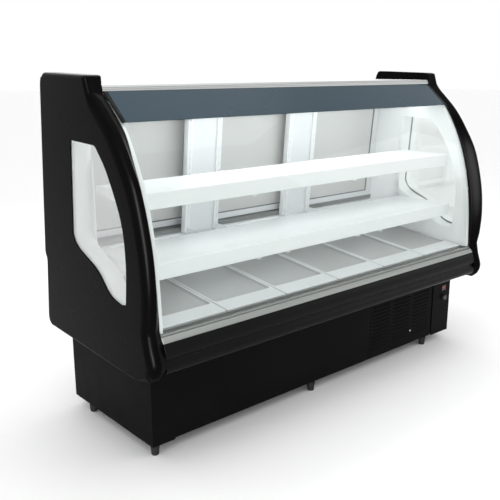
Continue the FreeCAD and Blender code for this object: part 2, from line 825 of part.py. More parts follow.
switch_x = base_half - 52.0
switch_z = 270.0
switch_width = 26.0
switch_height = 20.0
knob_z = 222.0
knob_radius = 13.0
knob_shaft = 3.0


def switch_block(margin, y0, y1):
    """A block that is smaller than the switch's opening by a margin all round."""
    across = switch_width / 2 - margin
    up = switch_height / 2 - margin
    return box(switch_x - across, switch_x + across, y0, y1, switch_z - up, switch_z + up)


def base_side_right():
    body = corner_side(1, right_return)
    body = body.cut(switch_block(0.0, base_front_y - beyond, base_front_y + panel_sheet + beyond))
    shaft_hole = rod(V(switch_x, base_front_y - beyond, knob_z), V(0, 1, 0), knob_shaft + slip,
                     panel_sheet + 2 * beyond)
    return body.cut(shaft_hole)


grille_x = (280.0, base_half - right_return)
panel_fold = 20.0


def front_panel():
    """Plain steel front with its ends folded back."""
    x0 = -base_half + left_return + panel_joint
    x1 = grille_x[0] - panel_joint
    face = box(x0, x1, panel_y, panel_y + panel_sheet, base_bottom, panel_top)
    folds = [box(x, x + sheet, panel_y, panel_y + panel_fold, base_bottom + tray_edge + 4, panel_top)
             for x in (x0, x1 - sheet)]
    return fuse([face] + folds)


louvre_rows = 12
louvre_columns = 3
louvre_height = 5.0
louvre_proud = 3.4            # the hoods stand out of the grille by this much
louvre_margin = 10.0
louvre_gap = 30.0             # between two columns of louvres
louvre_foot = 36.0
louvre_head = 50.0
louvre_x = grille_x[0] + clearance
louvre_pitch = (grille_x[1] - panel_joint - louvre_x - louvre_margin) / louvre_columns
screw_radius = 2.0
screw_head = 4.2
screw_head_height = 2.2
screw_length = 14.0
last_gap_x = louvre_x + louvre_margin + (louvre_columns - 1) * louvre_pitch - louvre_gap / 2
screw_places = ((louvre_x + 1.2 * louvre_pitch, panel_top - 12.0), (last_gap_x, base_bottom + 63.0))


def grille_panel():
    """Vented cover in front of the condenser: columns of pressed louvres."""
    y = panel_y
    x1 = grille_x[1] - panel_joint
    face = box(louvre_x, x1, y, y + panel_sheet, base_bottom, panel_top)
    pitch_z = (panel_top - base_bottom - louvre_foot - louvre_head) / (louvre_rows - 1)
    slots = []
    hoods = []
    for i in range(louvre_columns):
        a = louvre_x + louvre_margin + i * louvre_pitch
        b = a + louvre_pitch - louvre_gap
        for j in range(louvre_rows):
            z = base_bottom + louvre_foot + j * pitch_z
            top = z + louvre_height
            slots.append(box(a, b, y - beyond, y + panel_sheet + beyond, z, top))
            hood = [(y + 0.5, top + 3), (y - louvre_proud, top - 1), (y - louvre_proud, top - 2.4),
                    (y + 0.5, top + 0.6)]
            hoods.append(prism(a, hood, b - a))
    body = face.cut(Part.makeCompound(slots))
    body = fuse([body] + hoods)
    for x, z in screw_places:
        body = body.cut(rod(V(x, y - 5, z), V(0, 1, 0), screw_radius + slip, 12))
    return body


def grille_screws():
    """Slotted screws that hold the grille."""
    screws = []
    for x, z in screw_places:
        top = panel_y - screw_head_height
        head = Part.makeCone(screw_head - 1.8, screw_head, screw_head_height, V(x, top, z), V(0, 1, 0))
        slot = box(x - 0.5, x + 0.5, top - beyond, top + 0.8, z - screw_head, z + screw_head)
        screws.append(head.cut(slot).fuse(rod(V(x, panel_y, z), V(0, 1, 0), screw_radius, screw_length)))
    return Part.makeCompound(screws)


vent_x = (260.0, 450.0)       # left ends of the two columns of vents
vent_length = 160.0
vent_height = 6.0
vent_pitch = 20.0
vent_foot = 100.0
vent_rows = 10
gland_x = base_half - 90.0
gland_z = 110.0
gland_radius = 9.0            # hole in the rear panel
gland_flange = 4.0            # the flange is wider than the hole by this much
gland_lip = 3.0               # thickness of the flange
gland_bore = 4.5
gland_length = 12.0


def base_rear_panel():
    """Rear of the base, with vents behind the condensing unit and the hole for the cord's bush."""
    y = base_rear_y
    half = base_half - rear_return - panel_joint
    face = middle_box(half, y - panel_sheet, y, base_bottom, base_top - panel_joint)
    slots = []
    for x in vent_x:
        for j in range(vent_rows):
            z = vent_foot + j * vent_pitch
            slots.append(box(x, x + vent_length, y - panel_sheet - beyond, y + beyond, z, z + vent_height))
    body = face.cut(Part.makeCompound(slots))
    return body.cut(rod(V(gland_x, y - 5, gland_z), V(0, 1, 0), gland_radius, 8))


def cord_gland():
    """Rubber bush in the rear panel that a supply cord passes through."""
    y = base_rear_y
    start = V(gland_x, y + slip + gland_lip - gland_length, gland_z)
    body = rod(start, V(0, 1, 0), gland_radius - slip, gland_length)
    flange = rod(V(gland_x, y + slip, gland_z), V(0, 1, 0), gland_radius + gland_flange, gland_lip)
    bore = rod(V(gland_x, y - 20, gland_z), V(0, 1, 0), gland_bore, 40)
    return body.fuse(flange).cut(bore)


# ---------------------------------------------------------------- condensing unit
unit_x = 500.0
unit_floor = base_bottom + panel_sheet
condenser_y = base_front_y + 34
condenser_half = 150.0
condenser_depth = 44.0
condenser_z = (base_bottom + 12, panel_top - 30)
condenser_pitch = 10.0
condenser_tube = 4.5
condenser_foot = 20.0
condenser_fan_z = (condenser_z[0] + condenser_z[1]) / 2
condenser_fan_radius = 96.0
condenser_hub = 28.0
condenser_fan_width = 16.0
shroud_y = condenser_y + condenser_depth + 3
shroud_wall = 2.0
shroud_depth = 22.0
shroud_gap = 8.0              # between the blades and the collar
fan_motor_y = shroud_y + 34
fan_motor_radius = 30.0
fan_motor_length = 44.0


def condenser_coil():
    """Finned block on two feet."""
    z0, z1 = condenser_z
    y1 = condenser_y + condenser_depth
    left = unit_x - condenser_half
    fins = []
    for i in range(int(2 * condenser_half / condenser_pitch) + 1):
        x = left + condenser_pitch * i
        fins.append(box(x, x + fin_thickness, condenser_y, y1, z0, z1))
    tubes = [rod(V(left - 12, condenser_y + 14 + 18 * k, z0 + 20 + 34 * j), V(1, 0, 0), condenser_tube,
                 2 * condenser_half + 25) for k in range(2) for j in range(7)]
    feet = [box(x, x + condenser_foot, condenser_y + 8, y1 - 8, unit_floor, z0 + 6)
            for x in (left, unit_x + condenser_half - condenser_foot)]
    return fuse(fins + tubes + feet)


def condenser_fan_shroud():
    """Sheet behind the condenser with a round collar about the fan."""
    centre = V(unit_x, shroud_y, condenser_fan_z)
    radius = condenser_fan_radius + shroud_gap
    half = condenser_half + 2
    wall = box(unit_x - half, unit_x + half, shroud_y, shroud_y + shroud_wall, unit_floor, condenser_z[1])
    collar = rod(centre, V(0, 1, 0), radius + shroud_wall, shroud_depth)
    hole = rod(centre - V(0, beyond, 0), V(0, 1, 0), radius, shroud_depth + 2 * beyond)
    return fuse([wall, collar]).cut(hole)


def condenser_fan_motor():
    """Motor on a post, with the shaft that carries the fan."""
    y = fan_motor_y
    can = rod(V(unit_x, y, condenser_fan_z), V(0, 1, 0), fan_motor_radius, fan_motor_length)
    shaft = rod(V(unit_x, shroud_y, condenser_fan_z), V(0, 1, 0), motor_shaft, y - shroud_y)
    post = box(unit_x - 14, unit_x + 14, y + 10, y + 34, unit_floor, condenser_fan_z - 20)
    sole = box(unit_x - 40, unit_x + 40, y + 2, y + fan_motor_length, unit_floor, unit_floor + 3)
    return fuse([can, shaft, post, sole])


compressor_radius = 62.0
compressor_height = 105.0     # straight part of the can


def compressor():
    """Hermetic compressor: a domed steel can on a foot plate, with its two pipe stubs."""
    x, y, z = unit_x - 40, shroud_y + 170, unit_floor
    plate_top = z + 4
    shoulder = plate_top + compressor_height
    reach = compressor_radius + 8
    sole = box(x - 90, x + 90, y - 65, y + 65, z, plate_top)
    can = rod(V(x, y, plate_top), V(0, 0, 1), compressor_radius, compressor_height)
    dome = Part.makeSphere(compressor_radius, V(x, y, shoulder))
    dome = dome.common(box(x - reach, x + reach, y - reach, y + reach, shoulder - 4, shoulder + 41))
    stubs = [rod(V(x + 20, y + 20 * side, shoulder + 31), V(0, 0, 1), 4, 50) for side in (-1, 1)]
    return fuse([sole, can, dome] + stubs)


# ---------------------------------------------------------------- controls
control_y = base_front_y + panel_sheet + 26
control_depth = 60.0
control_leg = 13.0


def control_box():
    """Steel box behind the switch and the thermostat, on two legs."""
    x0, x1 = switch_x - 45, switch_x + 38
    foot = knob_z - 50
    shell = box(x0, x1, control_y, control_y + control_depth, foot, switch_z + 36)
    legs = [box(x, x + control_leg, control_y + 20, control_y + 40, unit_floor, foot + 1)
            for x in (x0, x1 - control_leg)]
    return fuse([shell] + legs)


rocker_margin = 3.0           # rocker inside the opening
frame_rim = 3.0               # the frame's rim covers this much round the opening
frame_wall = 1.6
rocker_pin = 1.45
rocker_pin_y = base_front_y + 6


def rocker_switch():
    """Rocker that tips about a pin along X, in its frame's opening."""
    body = switch_block(rocker_margin, base_front_y - 1.5, base_front_y + 9)
    bore = rod(V(switch_x - switch_width, rocker_pin_y, switch_z), V(1, 0, 0), rocker_pin + bearing,
               2 * switch_width)
    return body.cut(bore)


def switch_frame():
    """Rim and sleeve round the rocker, with the pin it tips on."""
    y = base_front_y
    rim = switch_block(-frame_rim, y - 2, y - slip)
    sleeve = switch_block(slip, y - 1, y + 20)
    hole = switch_block(slip + frame_wall, y - 3, y + 16)
    pin_start = V(switch_x - switch_width / 2 + 1, rocker_pin_y, switch_z)
    pin = rod(pin_start, V(1, 0, 0), rocker_pin, switch_width - 2)
    return fuse([rim, sleeve]).cut(hole).fuse(pin)


def thermostat_knob():
    """Round grip with a pointer groove, on its shaft."""
    face = base_front_y - knob_radius
    grip = rod(V(switch_x, face, knob_z), V(0, 1, 0), knob_radius, 12)
    groove_top = knob_z + knob_radius + beyond
    grip = grip.cut(box(switch_x - 1, switch_x + 1, face - beyond, face + 1, knob_z, groove_top))
    return grip.fuse(rod(V(switch_x, face + 11, knob_z), V(0, 1, 0), knob_shaft, 24))


# ---------------------------------------------------------------- all the pieces
def both_ends(name, shape):
    save(name + "_right", shape)
    save(name + "_left", mirror(shape))


both_ends("end_panel", end_panel())
both_ends("side_window", side_window())
both_ends("end_liner", end_liner())
single_pieces = (canopy_top, canopy_trim, front_glass, glass_band, glass_end_caps, glass_hinge_rod, sill_trim,
                 bumper_rail, tank, deck_pans, rear_lower_panel, evaporator_coil, evaporator_fan_plate,
                 evaporator_fan_motors, light_tubes, rear_posts, shelf_uprights, side_uprights, shelf_brackets,
                 rear_track_bottom, rear_track_top, base_tray, base_side_left, base_side_right, front_panel,
                 grille_panel, grille_screws, base_rear_panel, cord_gland, condenser_coil, condenser_fan_shroud,
                 condenser_fan_motor, compressor, control_box, rocker_switch, switch_frame, thermostat_knob)
for piece in single_pieces:
    save(piece.__name__, piece())
save("shelf_top", shelf(top_shelf_z, top_shelf_y))
save("shelf_middle", shelf(middle_shelf_z, middle_shelf_y))
for place, name in enumerate(("left", "middle", "right")):
    save("rear_door_" + name + "_frame", door_frame(place))
    save("rear_door_" + name + "_glass", door_glass(place))
for x, name in zip(fan_x, ("left", "right")):
    save("evaporator_fan_" + name, fan(x, plate_y - 16, fan_z, fan_blade, hub_radius, fan_width, fan_blades))
save("condenser_fan", fan(unit_x, shroud_y + 4, condenser_fan_z, condenser_fan_radius, condenser_hub,
                          condenser_fan_width, fan_blades))
foot_names = ("front_left", "front_middle", "front_right", "rear_left", "rear_middle", "rear_right")
for (x, y), name in zip(foot_places, foot_names):
    save("foot_" + name, foot(x, y))
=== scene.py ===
import json
import math

import bmesh
import bpy
from mathutils import Matrix, Vector


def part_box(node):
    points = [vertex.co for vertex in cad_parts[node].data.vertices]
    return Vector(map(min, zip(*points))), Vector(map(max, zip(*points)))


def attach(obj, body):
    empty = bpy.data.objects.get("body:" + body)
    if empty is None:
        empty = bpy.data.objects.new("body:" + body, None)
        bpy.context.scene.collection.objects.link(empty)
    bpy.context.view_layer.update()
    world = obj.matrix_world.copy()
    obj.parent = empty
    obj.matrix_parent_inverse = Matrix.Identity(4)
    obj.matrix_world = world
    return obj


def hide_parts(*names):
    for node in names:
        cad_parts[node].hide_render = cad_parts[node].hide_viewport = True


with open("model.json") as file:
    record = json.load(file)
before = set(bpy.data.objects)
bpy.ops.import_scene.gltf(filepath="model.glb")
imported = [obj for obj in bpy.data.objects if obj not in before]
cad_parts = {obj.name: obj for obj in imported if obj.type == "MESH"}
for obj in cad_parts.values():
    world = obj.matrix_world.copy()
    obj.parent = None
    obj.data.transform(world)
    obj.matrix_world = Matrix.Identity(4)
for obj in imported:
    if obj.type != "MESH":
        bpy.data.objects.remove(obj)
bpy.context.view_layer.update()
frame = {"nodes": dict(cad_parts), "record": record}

# The looks of a refrigerated deli case, in metres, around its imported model.
# X runs along the case, the customer's side faces -Y, Z is up and the floor is Z = 0.
scene = bpy.context.scene
nodes = frame["nodes"]

# ---------------------------------------------------------------- places from the frame
panel_low, panel_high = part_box("end_panel_right")
glass_low, glass_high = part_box("front_glass")
outer_half = panel_high.x
end_inner = panel_low.x
inner_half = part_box("end_liner_right")[0].x
GLASS_FOOT = (glass_low.y, glass_low.z)
GLASS_SPREAD = 0.293          # the top of the glass behind its foot
GLASS_RISE = 0.759            # and above it
GLASS_THICKNESS = 0.006
BAND_DEPTH = 0.112            # the flat upper part of the glass, from foot to top
BAND_RISE = 0.096
BAND_TOP = (GLASS_FOOT[0] + GLASS_SPREAD, GLASS_FOOT[1] + GLASS_RISE)
BAND_FOOT = (BAND_TOP[0] - BAND_DEPTH, BAND_TOP[1] - BAND_RISE)
SILL_TOP = 0.478              # top of the aluminium sill
SHELF_LIP = 0.057             # height of a shelf's front face
SHELF_FLANGE = 0.019          # height of a shelf's rear flange
POST_PLACE = 0.285            # middle of a rear post, from the middle of the case


# ---------------------------------------------------------------- outline helpers, in (y, z)
def flow(points, steps=6):
    """Points along a smooth curve (a Catmull-Rom spline) through the given points."""
    ends = [2 * Vector(points[0]) - Vector(points[1])] + [Vector(p) for p in points]
    ends.append(2 * Vector(points[-1]) - Vector(points[-2]))
    out = []
    for i in range(1, len(ends) - 2):
        a, b, c, d = ends[i - 1:i + 3]
        for k in range(steps):
            t = k / steps
            out.append(0.5 * (2 * b + (c - a) * t + (2 * a - 5 * b + 4 * c - d) * t * t
                              + (3 * b - a - 3 * c + d) * t ** 3))
    out.append(ends[-2])
    return out


def corner(before, at, after, radius, steps=6):
    """Points of a rounded corner."""
    before, at, after = Vector(before), Vector(at), Vector(after)
    back = (before - at).normalized() * min(radius, (before - at).length * 0.48)
    ahead = (after - at).normalized() * min(radius, (after - at).length * 0.48)
    a, c = at + back, at + ahead
    shares = [k / steps for k in range(steps + 1)]
    return [(1 - t) ** 2 * a + 2 * t * (1 - t) * at + t * t * c for t in shares]


def rounded(points, radius, steps=5):
    """A closed outline with every corner rounded."""
    count = len(points)
    out = []
    for i, at in enumerate(points):
        out.extend(corner(points[i - 1], at, points[(i + 1) % count], radius, steps))
    return out


def inward(outline):
    """Unit normals of a closed outline, pointing into it."""
    count = len(outline)
    pairs = [(outline[i - 1], outline[i]) for i in range(count)]
    area = sum(a[0] * b[1] - b[0] * a[1] for a, b in pairs)
    sense = 1 if area > 0 else -1
    normals = []
    for i in range(count):
        run = outline[(i + 1) % count] - outline[i - 1]
        normals.append(Vector((-run[1], run[0])).normalized() * sense)
    return normals


# ---------------------------------------------------------------- mesh helpers
class Build:
    """Collects solids for one piece."""

    def __init__(self):
        self.mesh = bmesh.new()

    def box(self, low, high):
        made = bmesh.ops.create_cube(self.mesh, size=1.0)["verts"]
        low, high = Vector(low), Vector(high)
        for vertex in made:
            vertex.co = Vector(((low[i] + high[i]) / 2 + vertex.co[i] * (high[i] - low[i]) for i in range(3)))
        return made

    def prism(self, outline, x0, x1):
        """An outline in (y, z) drawn out along X."""
        rings = [[self.mesh.verts.new((x, p[0], p[1])) for p in outline] for x in (x0, x1)]
        count = len(outline)
        for i in range(count):
            j = (i + 1) % count
            self.mesh.faces.new((rings[0][i], rings[0][j], rings[1][j], rings[1][i]))
        self.mesh.faces.new(rings[0])
        self.mesh.faces.new(rings[1][::-1])
        return rings[0] + rings[1]

    def loft(self, rings, closed=False):
        """Faces between successive rings of points; a closed loft joins its last ring to its first."""
        made = [[self.mesh.verts.new(p) for p in ring] for ring in rings]
        pairs = list(zip(made, made[1:]))
        if closed:
            pairs.append((made[-1], made[0]))
        else:
            self.mesh.faces.new(made[0])
            self.mesh.faces.new(made[-1][::-1])
        for low, high in pairs:
            for k in range(len(low)):
                j = (k + 1) % len(low)
                self.mesh.faces.new((low[k], low[j], high[j], high[k]))
        return [v for ring in made for v in ring]

    def lathe(self, profile, centre, axis="Z", sides=48, closed=False, knurl=0.0):
        """A turned solid: profile is (radius, height); a closed profile leaves a bore."""
        rings = []
        for size, height in profile:
            ring = []
            for k in range(sides):
                a = 2 * math.pi * k / sides
                radius = size * (1 - knurl * (k % 2))
                if axis == "Z":
                    place = (radius * math.cos(a), radius * math.sin(a), height)
                elif axis == "Y":
                    place = (radius * math.cos(a), height, radius * math.sin(a))
                else:
                    place = (height, radius * math.cos(a), radius * math.sin(a))
                ring.append(Vector(centre) + Vector(place))
            rings.append(ring)
        return self.loft(rings, closed)

    def turn(self, vertices, angle, axis, about):
        rotation = Matrix.Rotation(angle, 3, axis)
        bmesh.ops.rotate(self.mesh, verts=vertices, cent=Vector(about), matrix=rotation)

    def done(self, name, body, look, replaced=(), bevel=0.0, segments=3, sharp=35.0,
             mirrored=False):
        """Turns the solids into a piece that rides on a body."""
        if mirrored:
            for vertex in self.mesh.verts:
                vertex.co.x = -vertex.co.x
        bmesh.ops.recalc_face_normals(self.mesh, faces=self.mesh.faces)
        data = bpy.data.meshes.new(name)
        self.mesh.to_mesh(data)
        self.mesh.free()
        data.shade_smooth()
        data.set_sharp_from_angle(angle=math.radians(sharp))
        piece = bpy.data.objects.new(name, data)
        scene.collection.objects.link(piece)
        data.materials.append(look)
        if bevel:
            edge = piece.modifiers.new("edges", "BEVEL")
            edge.width = bevel
            edge.segments = segments
            edge.limit_method = "ANGLE"
            edge.angle_limit = math.radians(sharp)
            edge.harden_normals = True
        level = piece.modifiers.new("normals", "WEIGHTED_NORMAL")
        level.keep_sharp = True
        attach(piece, body)
        if replaced:
            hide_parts(*replaced)


# ---------------------------------------------------------------- materials
def new_material(name):
    look = bpy.data.materials.new(name)
    look.use_nodes = True
    tree = look.node_tree
    tree.nodes.clear()
    return look, tree


def link(tree, a, b):
    tree.links.new(a, b)


def noise(tree, scale, detail, stretch=None):
    """A noise field in the piece's own coordinates."""
    place = tree.nodes.new("ShaderNodeTexCoord")
    field = tree.nodes.new("ShaderNodeTexNoise")
    field.inputs["Scale"].default_value = scale
    field.inputs["Detail"].default_value = detail
    out = place.outputs["Object"]
    if stretch:
        mapping = tree.nodes.new("ShaderNodeMapping")
        mapping.inputs["Scale"].default_value = stretch
        link(tree, out, mapping.inputs["Vector"])
        out = mapping.outputs["Vector"]
    link(tree, out, field.inputs["Vector"])
    return field.outputs["Fac"]


def spread(tree, field, low, high):
    """Maps a noise field to a range."""
    ranged = tree.nodes.new("ShaderNodeMapRange")
    ranged.inputs["From Min"].default_value = 0.3
    ranged.inputs["From Max"].default_value = 0.7
    ranged.inputs["To Min"].default_value = low
    ranged.inputs["To Max"].default_value = high
    link(tree, field, ranged.inputs["Value"])
    return ranged.outputs["Result"]


def shade(tree, field, dark, light):
    """Blends two colours by a noise field."""
    blend = tree.nodes.new("ShaderNodeMix")
    blend.data_type = "RGBA"
    blend.inputs["A"].default_value = (*dark, 1)
    blend.inputs["B"].default_value = (*light, 1)
    link(tree, spread(tree, field, 0.0, 1.0), blend.inputs["Factor"])
    return blend.outputs["Result"]


def coated(name, colour, rough, grain, depth, metallic=0.0, specular=0.5, vary=0.06, patch=6.0,
           stretch=None, rough_spread=0.06, glow=None):
    """An opaque surface: its colour and gloss drift over it, and a fine grain roughens it."""
    look, tree = new_material(name)
    shader = tree.nodes.new("ShaderNodeBsdfPrincipled")
    output = tree.nodes.new("ShaderNodeOutputMaterial")
    shader.inputs["Metallic"].default_value = metallic
    shader.inputs["Specular IOR Level"].default_value = specular
    dark = tuple(c * (1 - vary) for c in colour)
    light = tuple(min(1.0, c * (1 + vary)) for c in colour)
    wide = noise(tree, patch, 4.0, stretch)
    fine = noise(tree, grain, 2.0, stretch)
    link(tree, shade(tree, wide, dark, light), shader.inputs["Base Color"])
    worn = noise(tree, patch * 3.1, 5.0, stretch)
    link(tree, spread(tree, worn, rough - rough_spread, rough + rough_spread), shader.inputs["Roughness"])
    bump = tree.nodes.new("ShaderNodeBump")
    bump.inputs["Strength"].default_value = 1.0
    bump.inputs["Distance"].default_value = depth
    link(tree, fine, bump.inputs["Height"])
    link(tree, bump.outputs["Normal"], shader.inputs["Normal"])
    if glow:
        shader.inputs["Emission Color"].default_value = (*glow[0], 1)
        shader.inputs["Emission Strength"].default_value = glow[1]
    link(tree, shader.outputs["BSDF"], output.inputs["Surface"])
    return look


def pane(name, tint, least, most, rough):
    """Clear sheet glass: see-through when faced, more mirror-like at a slant, faintly smeared."""
    look, tree = new_material(name)
    output = tree.nodes.new("ShaderNodeOutputMaterial")
    through = tree.nodes.new("ShaderNodeBsdfTransparent")
    through.inputs["Color"].default_value = (*tint, 1)
    gloss = tree.nodes.new("ShaderNodeBsdfGlossy")
    link(tree, spread(tree, noise(tree, 3.0, 4.0), rough * 0.6, rough * 1.6), gloss.inputs["Roughness"])
    slant = tree.nodes.new("ShaderNodeLayerWeight")
    slant.inputs["Blend"].default_value = 0.5
    power = tree.nodes.new("ShaderNodeMath")
    power.operation = "POWER"
    power.inputs[1].default_value = 4.0
    link(tree, slant.outputs["Facing"], power.inputs[0])
    share = tree.nodes.new("ShaderNodeMapRange")
    share.inputs["To Min"].default_value = least
    share.inputs["To Max"].default_value = most
    link(tree, power.outputs["Value"], share.inputs["Value"])
    mix = tree.nodes.new("ShaderNodeMixShader")
    link(tree, share.outputs["Result"], mix.inputs["Fac"])
    link(tree, through.outputs["BSDF"], mix.inputs[1])
    link(tree, gloss.outputs["BSDF"], mix.inputs[2])
    link(tree, mix.outputs["Shader"], output.inputs["Surface"])
    return look


# A coated look: colour, roughness, grain per metre and its depth in metres. A pane: tint, least and most
# share of mirror, roughness.
ALONG_X = (0.02, 1.0, 1.0)    # stretches the drawing lines of the aluminium along the case
looks = {
    "black_abs": coated("black_abs", (0.0026, 0.0024, 0.0025), 0.28, 900.0, 0.00005, specular=0.024,
                        vary=0.12, rough_spread=0.02),
    "white_liner": coated("white_liner", (0.86, 0.87, 0.87), 0.42, 420.0, 0.00004, vary=0.012,
                          rough_spread=0.02),
    "clear_glass": pane("clear_glass", (0.97, 0.985, 0.98), 0.22, 0.80, 0.05),
    "front_glass": pane("front_glass", (0.975, 0.99, 0.985), 0.02, 0.6, 0.012),
    "door_panel": coated("door_panel", (0.60, 0.60, 0.585), 0.24, 60.0, 0.00002, vary=0.02, patch=2.0,
                         rough_spread=0.015),
    "white_frame": coated("white_frame", (0.74, 0.75, 0.76), 0.36, 500.0, 0.00005, vary=0.02),
    "slate_band": coated("slate_band", (0.015, 0.039, 0.058), 0.25, 300.0, 0.00002, vary=0.12, patch=1.2,
                         specular=0.22),
    "black_moulding": coated("black_moulding", (0.0024, 0.0026, 0.0024), 0.32, 800.0, 0.00006,
                             specular=0.085),
    "aluminium_trim": coated("aluminium_trim", (0.27, 0.285, 0.275), 0.40, 700.0, 0.00003, metallic=1.0,
                             vary=0.05, stretch=ALONG_X, patch=30.0),
    "bright_trim": coated("bright_trim", (0.46, 0.47, 0.465), 0.34, 700.0, 0.00003, metallic=1.0, vary=0.05,
                          stretch=ALONG_X, patch=30.0),
    "black_steel": coated("black_steel", (0.0056, 0.0050, 0.0055), 0.38, 1500.0, 0.00006, specular=0.02,
                          vary=0.10),
    "white_steel": coated("white_steel", (0.74, 0.75, 0.76), 0.36, 900.0, 0.00004, vary=0.015,
                          rough_spread=0.02),
    "white_enamel": coated("white_enamel", (0.83, 0.84, 0.845), 0.34, 900.0, 0.00003, vary=0.012,
                           rough_spread=0.015),
    "pan_steel": coated("pan_steel", (0.40, 0.405, 0.40), 0.30, 600.0, 0.00003, vary=0.02,
                        rough_spread=0.01, patch=1.5),
    "lamp": coated("lamp", (0.95, 0.96, 1.0), 0.4, 200.0, 0.00002, glow=((0.96, 0.98, 1.0), 2.2)),
    "bright_steel": coated("bright_steel", (0.72, 0.72, 0.72), 0.14, 500.0, 0.00002, metallic=1.0,
                           vary=0.03),
    "coil_fins": coated("coil_fins", (0.60, 0.61, 0.62), 0.36, 500.0, 0.00004, metallic=1.0, vary=0.06),
    "galvanised": coated("galvanised", (0.50, 0.51, 0.52), 0.42, 60.0, 0.00003, metallic=1.0, vary=0.12,
                         patch=25.0),
    "motor_steel": coated("motor_steel", (0.13, 0.13, 0.14), 0.42, 900.0, 0.00006, vary=0.08),
    "fan_blade": coated("fan_blade", (0.02, 0.02, 0.021), 0.45, 700.0, 0.00005, vary=0.1),
    "compressor_black": coated("compressor_black", (0.012, 0.012, 0.013), 0.25, 120.0, 0.0001, vary=0.12),
    "gland_rubber": coated("gland_rubber", (0.015, 0.015, 0.015), 0.7, 900.0, 0.00008, specular=0.3),
    "red_switch": coated("red_switch", (0.36, 0.02, 0.02), 0.25, 500.0, 0.00002),
    "control_plastic": coated("control_plastic", (0.03, 0.03, 0.031), 0.42, 900.0, 0.00005),
    "foot_plastic": coated("foot_plastic", (0.011, 0.011, 0.011), 0.55, 700.0, 0.00008, specular=0.25),
}
slots = {entry["node"]: entry["material_slot"] for entry in frame["record"]["subparts"]}
for name, node in nodes.items():
    node.data.materials.clear()
    node.data.materials.append(looks[slots[name]])


def soften(name, width):
    """Rounds the hard edges of a CAD piece that is shown as it is."""
    node = nodes[name]
    join = node.modifiers.new("join", "WELD")
    join.merge_threshold = 0.00001
    edge = node.modifiers.new("edges", "BEVEL")
    edge.width = width
    edge.segments = 2
    edge.limit_method = "ANGLE"
    edge.angle_limit = math.radians(40)


# ---------------------------------------------------------------- end panels
# The front edge from the horn down, with how far it draws back where it meets the glass.
NOSE = [(-0.043, 1.245, 0.012), (-0.113, 1.184, 0.012), (-0.174, 1.124, 0.013), (-0.230, 1.048, 0.030),
        (-0.292, 0.941, 0.044), (-0.336, 0.790, 0.047), (-0.352, 0.661, 0.044), (-0.349, 0.562, 0.033),
        (-0.339, 0.501, 0.020)]
CHIN = [(-0.339, 0.501, 0.020), (-0.350, 0.451, 0.014), (-0.3665, 0.397, 0.012), (-0.356, 0.356, 0.012),
        (-0.329, 0.331, 0.012)]
UNDER = [(-0.242, 0.325), (0.347, 0.351), (0.367, 0.372), (0.342, 0.619), (0.356, 0.640), (0.298, 1.275),
         (0.281, 1.305), (-0.017, 1.297), (-0.037, 1.287)]
WINDOW_FRONT = [(-0.072, 1.077), (-0.140, 0.996), (-0.213, 0.852), (-0.232, 0.719), (-0.222, 0.576)]
WINDOW_FOOT = [(-0.195, 0.569), (-0.119, 0.591), (-0.042, 0.658), (0.087, 0.717), (0.116, 0.755)]
WINDOW_TOP = (0.092, 1.083)
CORNER_RADII = [0.02, 0.012, 0.02, 0.014, 0.022, 0.022, 0.012, 0.012]    # from the chin round to the horn
HORN_CORNERS = 2              # the last corners, which are partly nose
HORN_SHARE = 0.3
NOSE_FADE = [0.35, 0.55, 0.75, 0.9]    # how the rounding grows below the horn
NOSE_DRAW = [(0.0, 1.0), (0.25, 0.80), (0.5, 0.52), (0.75, 0.24), (0.92, 0.06)]    # (across, how far back)
ARC_STEPS = 8                 # steps of the rounding
NOSE_ROUND = (0.034, 0.040)   # rounding of the nose, across and back
EDGE_ROUND = (0.008, 0.008)
WINDOW_LIP = 0.003            # moulded lip in front of the window pane
WINDOW_REBATE = 0.009
WINDOW_EDGE = 0.0015          # rounding of the lip


def window_ring():
    """Outline of the window."""
    front = flow(WINDOW_FRONT)
    foot = flow(WINDOW_FOOT)
    ring = corner(WINDOW_TOP, WINDOW_FRONT[0], front[3], 0.012) + front[4:]
    ring += corner(front[-1], WINDOW_FOOT[0], foot[1], 0.010)[1:] + foot[2:]
    return ring + corner(foot[-1], WINDOW_TOP, WINDOW_FRONT[0], 0.010)


def end_ring():
    """Outline of an end panel: (point, how far it draws back at the glass, how much it is nose)."""
    points = [(Vector(p[:2]), p[2], 1.0) for p in flow(NOSE, 8)]
    points += [(Vector(p[:2]), p[2], 1.0) for p in flow(CHIN, 6)[1:]]
    corners = [CHIN[-1][:2]] + UNDER + [NOSE[0][:2]]
    for i, radius in enumerate(CORNER_RADII):
        share = HORN_SHARE if i >= len(CORNER_RADII) - HORN_CORNERS else 0.0
        points += [(p, 0.0, share) for p in corner(*corners[i:i + 3], radius)]
    for i, share in enumerate(NOSE_FADE):
        points[i] = (points[i][0], points[i][1], share)
    return points


